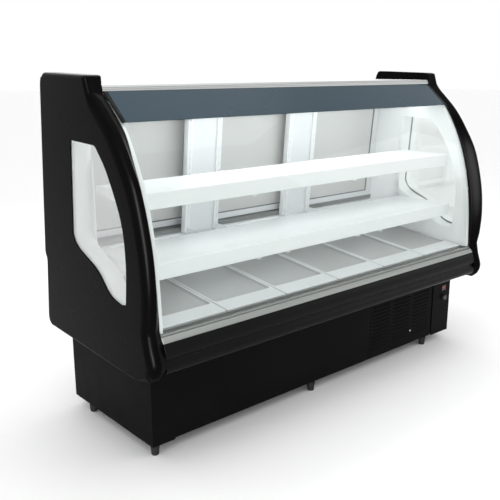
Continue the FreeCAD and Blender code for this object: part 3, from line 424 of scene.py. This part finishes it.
def end_panel(name, mirrored):
    """Moulded end: a drawn-back rounded nose, soft edges and a window hole with a lip and a rebate."""
    ring = end_ring()
    outline = [entry[0] for entry in ring]
    normals = inward(outline)
    hole = window_ring()
    hole_in = inward(hole)
    build = Build()
    mesh = build.mesh
    rows = []
    for part, share in NOSE_DRAW:
        row = []
        for (p, draw, nose), n in zip(ring, normals):
            across = EDGE_ROUND[0] + (NOSE_ROUND[0] - EDGE_ROUND[0]) * nose
            flank = outer_half - end_inner - across
            row.append(mesh.verts.new((end_inner + flank * part, *(p + n * draw * share))))
        rows.append(row)
    for k in range(ARC_STEPS + 1):
        angle = math.pi / 2 * k / ARC_STEPS
        row = []
        for (p, _, nose), n in zip(ring, normals):
            across = EDGE_ROUND[0] + (NOSE_ROUND[0] - EDGE_ROUND[0]) * nose
            back = EDGE_ROUND[1] + (NOSE_ROUND[1] - EDGE_ROUND[1]) * nose
            place = p + n * back * (1 - math.cos(angle))
            row.append(mesh.verts.new((outer_half - across * (1 - math.sin(angle)), *place)))
        rows.append(row)
    count = len(ring)
    for low, high in zip(rows, rows[1:]):
        for i in range(count):
            j = (i + 1) % count
            mesh.faces.new((low[i], low[j], high[j], high[i]))
    edge = WINDOW_EDGE
    lip = outer_half - WINDOW_LIP
    sleeve = [(end_inner, -WINDOW_REBATE), (lip, -WINDOW_REBATE), (lip, 0.0), (outer_half - edge, 0.0),
              (outer_half - edge * 0.3, -edge * 0.3), (outer_half, -edge)]
    walls = []
    for x, grow in sleeve:
        walls.append([mesh.verts.new((x, *(p + n * grow))) for p, n in zip(hole, hole_in)])
    for low, high in zip(walls, walls[1:]):
        for i in range(len(hole)):
            j = (i + 1) % len(hole)
            mesh.faces.new((low[j], low[i], high[i], high[j]))
    for row, wall in ((rows[0], walls[0]), (rows[-1], walls[-1])):
        edges = [mesh.edges.get((line[i - 1], line[i])) for line in (row, wall) for i in range(len(line))]
        bmesh.ops.triangle_fill(mesh, use_beauty=True, use_dissolve=False, edges=edges)
    side = "left" if mirrored else "right"
    build.done(name, "case", looks["black_abs"], ["end_panel_" + side], sharp=50,
               mirrored=mirrored)


# ---------------------------------------------------------------- front glass
LEAN, BEND = 0.12, 0.78       # straight and cubic shares of the glass's run back


def glass_y(z, inset=0.0):
    """Depth of the curved glass at a height, or of a face behind it by the inset."""
    t = (z - GLASS_FOOT[1]) / GLASS_RISE
    slope = GLASS_SPREAD * (LEAN + 3 * BEND * t ** 2) / GLASS_RISE
    return GLASS_FOOT[0] + GLASS_SPREAD * (LEAN * t + BEND * t ** 3) + inset * math.sqrt(1 + slope ** 2)


SLANT = Vector((BAND_TOP[0] - BAND_FOOT[0], BAND_TOP[1] - BAND_FOOT[1]))
SLANT_LENGTH = SLANT.length
SLANT_ALONG = SLANT.normalized()
SLANT_OUT = Vector((-SLANT_ALONG[1], SLANT_ALONG[0]))


def slanted(along, out):
    """A point of the flat upper part: along it from its foot, and out from its front face."""
    return Vector(BAND_FOOT) + SLANT_ALONG * along + SLANT_OUT * out


def front_pane():
    """One pane: the curve from the sill, and the flat upper part."""
    low, count = GLASS_FOOT[1], 40
    joint = BAND_FOOT[1] - 0.010       # the curve stops here, so that the bend is soft
    outer, inner = [], []
    for k in range(count):
        z = low + (joint - low) * k / (count - 1)
        outer.append(Vector((glass_y(z), z)))
        inner.append(Vector((glass_y(z, GLASS_THICKNESS), z)))
    outer += [slanted(a, 0) for a in (0.006, 0.05, SLANT_LENGTH - 0.001)]
    inner += [slanted(a, -GLASS_THICKNESS) for a in (0.003, 0.05, SLANT_LENGTH - 0.009)]
    build = Build()
    build.prism(outer + inner[::-1], glass_low.x, glass_high.x)
    build.done("front_glass_pane", "front_glass", looks["front_glass"], ["front_glass"],
               bevel=0.0008, segments=2, sharp=60)


# ---------------------------------------------------------------- folded sheet
def folded(path, thickness, bend=0.004, steps=4):
    """Outline of a sheet folded along a path: the path is its outer face and the metal lies to its left."""
    points = [Vector(path[0])]
    for i in range(1, len(path) - 1):
        points.extend(corner(path[i - 1], path[i], path[i + 1], bend, steps))
    points.append(Vector(path[-1]))
    inner = []
    for i, p in enumerate(points):
        run = points[min(i + 1, len(points) - 1)] - points[max(i - 1, 0)]
        inner.append(p + Vector((-run[1], run[0])).normalized() * thickness)
    return points + inner[::-1]


# ---------------------------------------------------------------- aluminium trims
def top_trim():
    """Extruded trim along the top of the glass, with fine grooves in its face."""
    low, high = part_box("canopy_trim")
    front, top, foot = BAND_TOP[0] - 0.001, high.z, BAND_TOP[1] + 0.0002
    axle, axle_radius = (0.0, BAND_TOP[0] + 0.015, BAND_TOP[1] + 0.010), 0.0090
    face = [(front + 0.012, foot), (front, foot), (front, foot + 0.0048), (front + 0.0015, foot + 0.0055),
            (front + 0.0002, foot + 0.0066), (front + 0.0014, foot + 0.0105), (front + 0.0034, foot + 0.0112),
            (front + 0.0020, foot + 0.0122), (front + 0.0044, top - 0.0018), (front + 0.0060, top - 0.0004),
            (front + 0.0100, top), (front + 0.0130, top), (front + 0.0130, top - 0.004)]
    leg = [slanted(SLANT_LENGTH - 0.034, -0.0062), slanted(SLANT_LENGTH - 0.034, -0.0100),
           (front + 0.017, foot + 0.003), (front + 0.0106, foot)]
    build = Build()
    build.prism([Vector(p) for p in face], low.x, high.x)
    build.prism([Vector(p) for p in leg], low.x, high.x)
    build.lathe([(axle_radius, low.x), (axle_radius, high.x)], axle, "X", 32)
    build.done("top_trim", "front_glass", looks["bright_trim"], ["canopy_trim"],
               bevel=0.0004, segments=2)


def sill():
    """Tilted aluminium strip under the glass with a drip edge below, and the seat that the glass shuts on."""
    low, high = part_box("sill_trim")
    y, z = GLASS_FOOT[0], high.z
    outline = [(y + 0.034, z - 0.004), (y + 0.034, z), (y - 0.004, z), (y - 0.0075, z - 0.0015),
               (y - 0.0186, z - 0.0170), (y - 0.0186, z - 0.0188), (y - 0.0170, z - 0.0199),
               (y - 0.0060, z - 0.0199), (y + 0.0040, z - 0.004)]
    build = Build()
    build.prism([Vector(p) for p in outline], low.x, high.x)
    build.done("sill_strip", "case", looks["aluminium_trim"], ["sill_trim"], bevel=0.0012)
    seat = [(y - 0.0015, z), (y - 0.0015, z + 0.0075), (y + 0.0085, z + 0.0075), (y + 0.0085, z)]
    build = Build()
    build.prism([Vector(p) for p in seat], glass_low.x, glass_high.x)
    build.done("glass_seat", "case", looks["aluminium_trim"], (), bevel=0.001)


def bumper():
    """Two-step black moulding along the front, from the sill down to the base."""
    low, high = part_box("bumper_rail")
    y, top = GLASS_FOOT[0] - 0.020, high.z
    base_front = -0.241
    upper = flow([(y + 0.001, top), (y - 0.008, top - 0.022), (y - 0.010, top - 0.045),
                  (y - 0.004, top - 0.056)], 5)
    lower = flow([(y - 0.004, top - 0.062), (y - 0.013, top - 0.078), (y - 0.008, top - 0.098),
                  (y + 0.022, top - 0.110)], 6)
    back = [(base_front, top - 0.112), (base_front, low.z), (high.y, low.z), (high.y, top)]
    build = Build()
    build.prism(upper + lower + [Vector(p) for p in back], low.x, high.x)
    build.done("bumper", "case", looks["black_moulding"], ["bumper_rail"], bevel=0.0008,
               segments=2, sharp=30)


# ---------------------------------------------------------------- shelves and deck
def shelf(name, node):
    """White shelf: a folded sheet with a deep front, a hem, a rear flange and end ears."""
    low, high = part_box(node)
    y0, y1, top = low.y, high.y, high.z
    metal, ear_metal = 0.0015, 0.0018
    inside = 0.0016               # the ears lie just inside the folded sheet
    foot, hem = top - SHELF_LIP, 0.018
    flange = (y1, top - SHELF_FLANGE)
    path = [flange, (y1, top), (y0, top), (y0, foot), (y0 + hem, foot), (y0 + hem, foot + 0.008)]
    build = Build()
    build.prism(folded(path, metal), low.x, high.x)
    ear = rounded([(y0 + inside, top - inside), (y0 + inside, low.z), (y0 + 0.040, low.z + 0.002),
                   (y1 - inside, flange[1]), (y1 - inside, top - inside)], 0.006)
    for x in (low.x, high.x - ear_metal):
        build.prism(ear, x, x + ear_metal)
    build.done(name, "case", looks["white_enamel"], [node], bevel=0.0004, segments=2,
               sharp=40)


def level_ring(x0, x1, y0, y1, radius, z):
    """A rounded rectangle that lies flat at a height."""
    ring = rounded([(x0, y0), (x1, y0), (x1, y1), (x0, y1)], radius, 5)
    return [Vector((p[0], p[1], z)) for p in ring]


PAN_COUNT = 6
PAN_GAP = 0.003
PAN_DEPTH = 0.470
PAN_RIM = 0.010               # height of a pan's rim above its seat
DECK_SLOPE = math.radians(6)
# Rings of a pan and of its bead, from outside to inside: in from the sides and the back, in from the
# front, height and corner radius.
PAN_RINGS = [(0.0010, 0.0010, 0.0, 0.006), (0.0, 0.0, 0.0015, 0.007), (0.0, 0.0, PAN_RIM - 0.0020, 0.007),
             (0.0008, 0.0008, PAN_RIM - 0.0005, 0.007), (0.0022, 0.0022, PAN_RIM, 0.008),
             (0.0075, 0.079, PAN_RIM, 0.014), (0.0090, 0.0805, PAN_RIM - 0.0006, 0.015),
             (0.0105, 0.0820, PAN_RIM - 0.0026, 0.016), (0.0125, 0.0840, PAN_RIM - 0.0070, 0.018),
             (0.0150, 0.0865, PAN_RIM - 0.0082, 0.020)]
BEAD_RINGS = [(0.0014, 0.0014, PAN_RIM - 0.001, 0.008), (0.0018, 0.0018, PAN_RIM + 0.0012, 0.008),
              (0.0034, 0.0034, PAN_RIM + 0.0020, 0.009), (0.0064, 0.0780, PAN_RIM + 0.0020, 0.013),
              (0.0080, 0.0796, PAN_RIM + 0.0012, 0.014), (0.0084, 0.0800, PAN_RIM - 0.001, 0.014)]


def pans():
    """Six pressed pans side by side, each with a wide front ledge, a shallow floor and a raised bead."""
    low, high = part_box("deck_pans")
    y0 = low.y + 0.001
    y1 = y0 + PAN_DEPTH
    pitch = (high.x - low.x + PAN_GAP) / PAN_COUNT
    for i in range(PAN_COUNT):
        x0 = low.x + i * pitch
        x1 = x0 + pitch - PAN_GAP
        replaced = ["deck_pans"] if i == 0 else ()
        for part, levels, closed, slot, stands_for in (("pan", PAN_RINGS, False, "pan_steel", replaced),
                                                       ("rim", BEAD_RINGS, True, "white_steel", ())):
            build = Build()
            build.loft([level_ring(x0 + side, x1 - side, y0 + ahead, y1 - side, radius, SILL_TOP + z)
                        for side, ahead, z, radius in levels], closed)
            build.turn(build.mesh.verts[:], DECK_SLOPE, "X", (0.0, y0, SILL_TOP))
            build.done("deck_%s_%d" % (part, i + 1), "case", looks[slot], stands_for, sharp=60)


# ---------------------------------------------------------------- base
LOUVRE_COLUMNS, LOUVRE_ROWS = 3, 12
LOUVRE_SLOT = 0.005           # height of a slot
LOUVRE_MARGIN = 0.010         # solid edge left of the first column
LOUVRE_RIB = 0.030            # solid strip right of each column
LOUVRE_FOOT, LOUVRE_HEAD = 0.036, 0.050
# A louvre's hood in section: out of the cover's face, and above the top of its slot.
HOOD = [(-0.0004, 0.0030), (0.0012, 0.0022), (0.0026, 0.0006), (0.0033, -0.0012), (0.0033, -0.0024),
        (0.0022, -0.0022), (0.0014, -0.0006), (-0.0004, 0.0006)]


def grille():
    """Steel cover with three columns of pressed louvres."""
    low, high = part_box("grille_panel")
    front, back = low.y + 0.0034, high.y
    pitch_x = (high.x - low.x - LOUVRE_MARGIN) / LOUVRE_COLUMNS
    pitch_z = (high.z - low.z - LOUVRE_FOOT - LOUVRE_HEAD) / (LOUVRE_ROWS - 1)
    slots = [low.z + LOUVRE_FOOT + j * pitch_z for j in range(LOUVRE_ROWS)]
    starts = [low.x + LOUVRE_MARGIN + i * pitch_x for i in range(LOUVRE_COLUMNS)]
    columns = [(x, x + pitch_x - LOUVRE_RIB) for x in starts]
    build = Build()
    edges = [low.x] + [x for pair in columns for x in pair] + [high.x]
    for a, b in zip(edges[0::2], edges[1::2]):
        build.box((a, front, low.z), (b, back, high.z))
    heights = [low.z] + [h for z in slots for h in (z, z + LOUVRE_SLOT)] + [high.z]
    for a, b in columns:
        for z0, z1 in zip(heights[0::2], heights[1::2]):
            build.box((a, front, z0), (b, back, z1))
        for z in slots:
            hood = [Vector((front - out, z + LOUVRE_SLOT + up)) for out, up in HOOD]
            build.prism(hood, a - 0.001, b + 0.001)
    bmesh.ops.remove_doubles(build.mesh, verts=build.mesh.verts, dist=0.00001)
    build.done("grille_cover", "case", looks["black_steel"], ["grille_panel"], sharp=30)


# A foot from its sole up: (radius, height), and its stem.
FOOT_PAD = [(0.0095, 0.0), (0.0125, 0.0008), (0.0138, 0.0030), (0.0150, 0.020), (0.0166, 0.0340),
            (0.0170, 0.0360), (0.0170, 0.0388), (0.0162, 0.0394)]
FOOT_STEM = 0.0050


def feet():
    """Tapered levelling feet with a rounded sole and a collar, each on its stem."""
    for node in [n for n in nodes if n.startswith("foot_")]:
        low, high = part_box(node)
        centre = ((low.x + high.x) / 2, (low.y + high.y) / 2, 0.0)
        profile = FOOT_PAD + [(FOOT_STEM, FOOT_PAD[-1][1]), (FOOT_STEM, high.z)]
        build = Build()
        build.lathe(profile, centre, "Z", 40)
        build.done(node + "_pad", node, looks["foot_plastic"], [node], sharp=40)


# ---------------------------------------------------------------- service side
REAR_FOOT = (panel_high.y, 0.650)     # the service side leans about this line, in (y, z)
REAR_LEAN = math.radians(5.3)
DOOR_BOTTOM, DOOR_TOP = 0.658, 1.21345
DOOR_WIDTH = 0.609
DOOR_STEP = 0.569             # from one door to the next
DOOR_STILE = 0.038
DOOR_END = 0.004              # first door, in from the end lining
FIRST_FACE = 0.0196667        # face of the first door in front of the leaning line
CHANNEL_STEP = 0.0213333      # from one door's channel to the next
BEAD_WIDTH = 0.005
BEAD_DEPTHS = [(0.0145, 0.0108), (0.0050, 0.0012)]    # inner and outer bead, in front of the door's face
PULL_HALF = (0.012, 0.073)    # half the width and height of a finger pull
PULL_WALL = 0.0034
POST_HALF = 0.090             # half the width of a rear post
POST_DEPTH = 0.020
POST_RETURN = 0.012           # width of a post's returned edge
POST_WALL = 0.002
POST_SET = 0.104              # face of a post in front of the leaning line
POST_ENDS = (0.652, 1.2194)   # its heights


def leaned(build):
    """Tips a piece that was built upright to the slope of the service side."""
    build.turn(build.mesh.verts[:], REAR_LEAN, "X", (0.0, *REAR_FOOT))


def rectangle(x0, x1, z0, z1, y, radius):
    """A rounded rectangle that faces -Y."""
    return [Vector((p[0], y, p[1])) for p in rounded([(x0, z0), (x1, z0), (x1, z1), (x0, z1)], radius, 4)]


def frame_ring(build, outer, inner, y0, y1):
    """A rounded picture frame between two rectangles, (x0, x1, z0, z1, radius) each."""
    soft = 0.0006                 # bevel of its front edges
    rings = []
    for edge, grow in ((outer, soft), (inner, -soft)):
        x0, x1, z0, z1, radius = edge
        levels = [(0.0, y1), (0.0, y0 + soft), (grow, y0)]
        for shift, y in (levels if edge is outer else levels[::-1]):
            rings.append(rectangle(x0 + shift, x1 - shift, z0 + shift, z1 - shift, y, radius))
    build.loft(rings, True)


def around(x, z, half_x, half_z, radius):
    """A rounded rectangle about a point, as frame_ring takes it."""
    return (x - half_x, x + half_x, z - half_z, z + half_z, radius)


def doors():
    """Glazing beads and finger pulls of the sliding doors."""
    for index, place in enumerate(("left", "middle", "right")):
        body = "rear_door_" + place
        x0 = -inner_half + DOOR_END + index * DOOR_STEP
        x1 = x0 + DOOR_WIDTH
        face = REAR_FOOT[0] - FIRST_FACE - CHANNEL_STEP * index
        middle_x, middle_z = (x0 + x1) / 2, (DOOR_BOTTOM + DOOR_TOP) / 2
        half_x, half_z = DOOR_WIDTH / 2 - DOOR_STILE, (DOOR_TOP - DOOR_BOTTOM) / 2 - DOOR_STILE
        opening = around(middle_x, middle_z, half_x, half_z, 0.003)
        within = around(middle_x, middle_z, half_x - BEAD_WIDTH, half_z - BEAD_WIDTH, 0.004)
        beads = Build()
        for deep, shallow in BEAD_DEPTHS:
            frame_ring(beads, opening, within, face - deep, face - shallow)
        leaned(beads)
        beads.done(body + "_beads", body, looks["motor_steel"], (), sharp=40)
        x = x1 - DOOR_STILE / 2 if place == "right" else x0 + DOOR_STILE / 2
        pull = Build()
        frame_ring(pull, around(x, middle_z, *PULL_HALF, 0.006),
                   around(x, middle_z, PULL_HALF[0] - PULL_WALL, PULL_HALF[1] - PULL_WALL, 0.004),
                   face - 0.008, face + 0.0012)
        leaned(pull)
        pull.done(body + "_pull", body, looks["aluminium_trim"], (), sharp=40)


def posts():
    """Wide folded posts with soft bends and returned edges."""
    front = REAR_FOOT[0] - POST_SET
    back = front + POST_DEPTH
    for side, x in (("left", -POST_PLACE), ("right", POST_PLACE)):
        x0, x1 = x - POST_HALF, x + POST_HALF
        path = [(x0 + POST_RETURN, back), (x0, back), (x0, front), (x1, front), (x1, back),
                (x1 - POST_RETURN, back)]
        outline = folded(path, POST_WALL, 0.005, 4)
        build = Build()
        build.loft([[Vector((p[0], p[1], z)) for p in outline] for z in POST_ENDS])
        leaned(build)
        build.done("post_" + side, "case", looks["white_steel"], ["rear_posts"] if side == "left" else (),
                   sharp=40)


# ---------------------------------------------------------------- lamps and clips
def shelf_lamp(node):
    """Outline of the slim lamp in the corner behind a shelf's front face."""
    low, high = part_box(node)
    y0, y1 = low.y + 0.007, low.y + 0.017
    z0, z1 = high.z - 0.0151, high.z - 0.0036
    return rounded([(y0, z1), (y0, z0), (y1, z0), (y1, z1)], 0.004)


def lamps():
    """Canopy tube with metal ends, and the slim lamps behind the front faces of the shelves."""
    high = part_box("light_tubes")[1]
    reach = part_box("canopy_top")[1].x - 0.065      # half the tube's length over its metal ends
    radius, cap_length = 0.0126, 0.022
    centre = (0.0, BAND_TOP[0] + 0.038, high.z - 0.013)
    glowing = reach - 0.02
    build = Build()
    build.lathe([(radius, -glowing), (radius, glowing)], centre, "X", 32)
    for node in ("shelf_top", "shelf_middle"):
        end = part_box(node)[1].x - 0.031
        build.prism(shelf_lamp(node), -end, end)
    build.done("lamp_tubes", "case", looks["lamp"], ["light_tubes"], sharp=40)
    caps = Build()
    for low_x in (-reach, reach - cap_length):
        high_x = low_x + cap_length
        caps.lathe([(0.010, low_x), (0.013, low_x + 0.001), (0.013, high_x - 0.001), (0.010, high_x)],
                   centre, "X", 32)
    caps.done("lamp_caps", "case", looks["bright_steel"], (), sharp=40)


def clips():
    """Small clips under the front face of each shelf, on both sides of its posts, and at its left end."""
    aside = 0.076                 # clips, to each side of a post's middle
    for name in ("top", "middle"):
        low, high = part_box("shelf_" + name)
        y, foot = low.y, high.z - SHELF_LIP
        tab = rounded([(y + 0.003, foot + 0.002), (y + 0.003, foot - 0.008), (y + 0.014, foot - 0.008),
                       (y + 0.017, foot + 0.002)], 0.003)
        tail = rounded([(y + 0.002, foot + 0.001), (y + 0.002, foot - 0.010), (y + 0.016, foot - 0.010),
                        (y + 0.016, foot + 0.001)], 0.002)
        build = Build()
        for x in [post + side for post in (-POST_PLACE, POST_PLACE) for side in (-aside, aside)]:
            build.prism(tab, x - 0.002, x + 0.002)
            build.prism(tab, x + 0.008, x + 0.012)
        build.prism(tail, low.x + 0.001, low.x + 0.050)
        build.done("shelf_clips_" + name, "case", looks["white_enamel"], (), bevel=0.0003,
                   sharp=40)


# ---------------------------------------------------------------- controls
def switch():
    """Rocker with a dished face, in a rounded frame."""
    low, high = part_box("switch_frame")
    x, z, face = (low.x + high.x) / 2, (low.z + high.z) / 2, low.y
    build = Build()
    outer, inner = around(x, z, 0.016, 0.013, 0.003), around(x, z, 0.0112, 0.0082, 0.0015)
    frame_ring(build, outer, inner, face, face + 0.020)
    build.done("switch_bezel", "case", looks["control_plastic"], ["switch_frame"],
               sharp=40)
    low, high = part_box("rocker_switch")
    dish = low.y + 0.0012
    outline = [(low.y, low.z), (dish, z - 0.002), (dish, z + 0.002), (low.y, high.z), (high.y, high.z),
               (high.y, low.z)]
    build = Build()
    build.prism([Vector(p) for p in outline], low.x, high.x)
    build.done("rocker_key", "rocker_switch", looks["red_switch"], ["rocker_switch"],
               bevel=0.0007)


def thermostat():
    """Knurled knob with a pointer on its face, on a thin shaft."""
    low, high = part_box("thermostat_knob")
    front, radius = low.y, (high.x - low.x) / 2
    x, z = (low.x + high.x) / 2, (low.z + high.z) / 2
    rim, shaft, pointer = front + 0.0118, 0.003, 0.0007
    build = Build()
    build.lathe([(radius * 0.80, front), (radius * 0.92, front + 0.0006), (radius, front + 0.0024),
                 (radius, front + 0.0100), (radius * 0.97, rim)], (x, 0.0, z), "Y", 48, knurl=0.035)
    build.lathe([(shaft, rim), (shaft, high.y)], (x, 0.0, z), "Y", 24)
    build.box((x - pointer, front, z + 0.001), (x + pointer, front + 0.002, z + radius * 0.78))
    build.done("thermostat_dial", "thermostat_knob", looks["control_plastic"], ["thermostat_knob"],
               sharp=30)


def gland():
    """Flanged rubber bush for the supply cord."""
    low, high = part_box("cord_gland")
    centre = ((low.x + high.x) / 2, 0.0, (low.z + high.z) / 2)
    bore, body, flange = 0.0045, 0.0088, (high.x - low.x) / 2
    seat = high.y - 0.003         # back of the flange
    build = Build()
    build.lathe([(bore, low.y), (body, low.y), (body, seat), (flange - 0.0006, seat),
                 (flange, high.y - 0.0022), (flange - 0.0004, high.y - 0.0006), (flange - 0.0014, high.y),
                 (bore + 0.0012, high.y), (bore, high.y - 0.0012)], centre, "Y", 40, closed=True)
    build.done("cord_bush", "case", looks["gland_rubber"], ["cord_gland"], sharp=40)


end_panel("end_moulding_left", True)
end_panel("end_moulding_right", False)
front_pane()
top_trim()
sill()
bumper()
shelf("shelf_top_tray", "shelf_top")
shelf("shelf_middle_tray", "shelf_middle")
pans()
grille()
feet()
posts()
doors()
lamps()
clips()
switch()
thermostat()
gland()
for softened in ("canopy_top", "rear_lower_panel", "end_liner_left", "end_liner_right", "glass_band",
                 "glass_end_caps", "front_panel", "base_side_left", "base_side_right", "base_rear_panel",
                 "rear_track_top", "rear_track_bottom", "rear_door_left_frame", "rear_door_middle_frame",
                 "rear_door_right_frame"):
    soften(softened, 0.0012)
for softened in ("shelf_uprights", "side_uprights", "shelf_brackets", "grille_screws"):
    soften(softened, 0.0004)

# ---------------------------------------------------------------- camera, floor and lights
floor_data = bpy.data.meshes.new("floor")
reach = 40.0
corners = [(-reach, -reach, 0), (reach, -reach, 0), (reach, reach, 0), (-reach, reach, 0)]
floor_data.from_pydata(corners, [], [(0, 1, 2, 3)])
floor = bpy.data.objects.new("floor", floor_data)
scene.collection.objects.link(floor)
pale = coated("pale_floor", (0.96, 0.96, 0.96), 0.6, 8.0, 0.0001, specular=0.1, vary=0.004)
floor_data.materials.append(pale)


def soft_light(name, place, target, size, power, tone=(1.0, 1.0, 1.0)):
    """An area light of a size in metres and a power in watts, aimed at a point."""
    data = bpy.data.lights.new(name, "AREA")
    data.shape = "RECTANGLE"
    data.size, data.size_y = size
    data.energy = power
    data.color = tone
    light = bpy.data.objects.new(name, data)
    light.location = place
    light.rotation_euler = (Vector(target) - Vector(place)).to_track_quat("-Z", "Y").to_euler()
    scene.collection.objects.link(light)
    return light


middle = (0.0, 0.0, 0.7)
soft_light("over", (0.0, -0.4, 3.6), (0.0, 0.0, 0.0), (4.5, 3.5), 38.0)
# A tall strip that shows only as a highlight along the glossy edges.
crest = soft_light("crest", (-3.5, -2.2, 1.5), (-0.95, -0.3, 0.9), (0.5, 3.0), 400.0)
crest.visible_diffuse = False
soft_light("right", (3.2, -2.4, 1.9), middle, (1.6, 1.6), 8.0)
soft_light("rear", (0.5, 3.6, 2.2), middle, (3.0, 1.6), 18.0)

tube_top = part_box("light_tubes")[1].z
top_low, top_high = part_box("shelf_top")
middle_low, middle_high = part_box("shelf_middle")
lamp_places = [("canopy_lamp", 0.0, tube_top - 0.03, 3.0),
               ("top_lamp", top_low.y + 0.02, top_high.z - 0.025, 0.9),
               ("middle_lamp", middle_low.y + 0.02, middle_high.z - 0.025, 0.7)]
lamp_size = (1.6, 0.03)
lamp_tone = (0.97, 0.985, 1.0)
for name, y, z, power in lamp_places:
    soft_light(name, (0.0, y, z), (0.0, y + 0.03, z - 0.3), lamp_size, power, lamp_tone)

world = bpy.data.worlds.new("studio")
scene.world = world
world.use_nodes = True
sky = world.node_tree.nodes["Background"]
sky.inputs["Color"].default_value = (1.0, 1.0, 1.0, 1)
sky.inputs["Strength"].default_value = 1.0
scene.view_settings.view_transform = "Standard"

camera_data = bpy.data.cameras.new("camera")
camera_data.sensor_width = 36.0
camera_data.lens = 50.8
camera = bpy.data.objects.new("camera", camera_data)
camera.location = (-2.0765, -2.1155, 1.316)
camera.rotation_euler = (math.radians(75.6), 0.0, math.radians(-41.1))
scene.collection.objects.link(camera)
scene.camera = camera
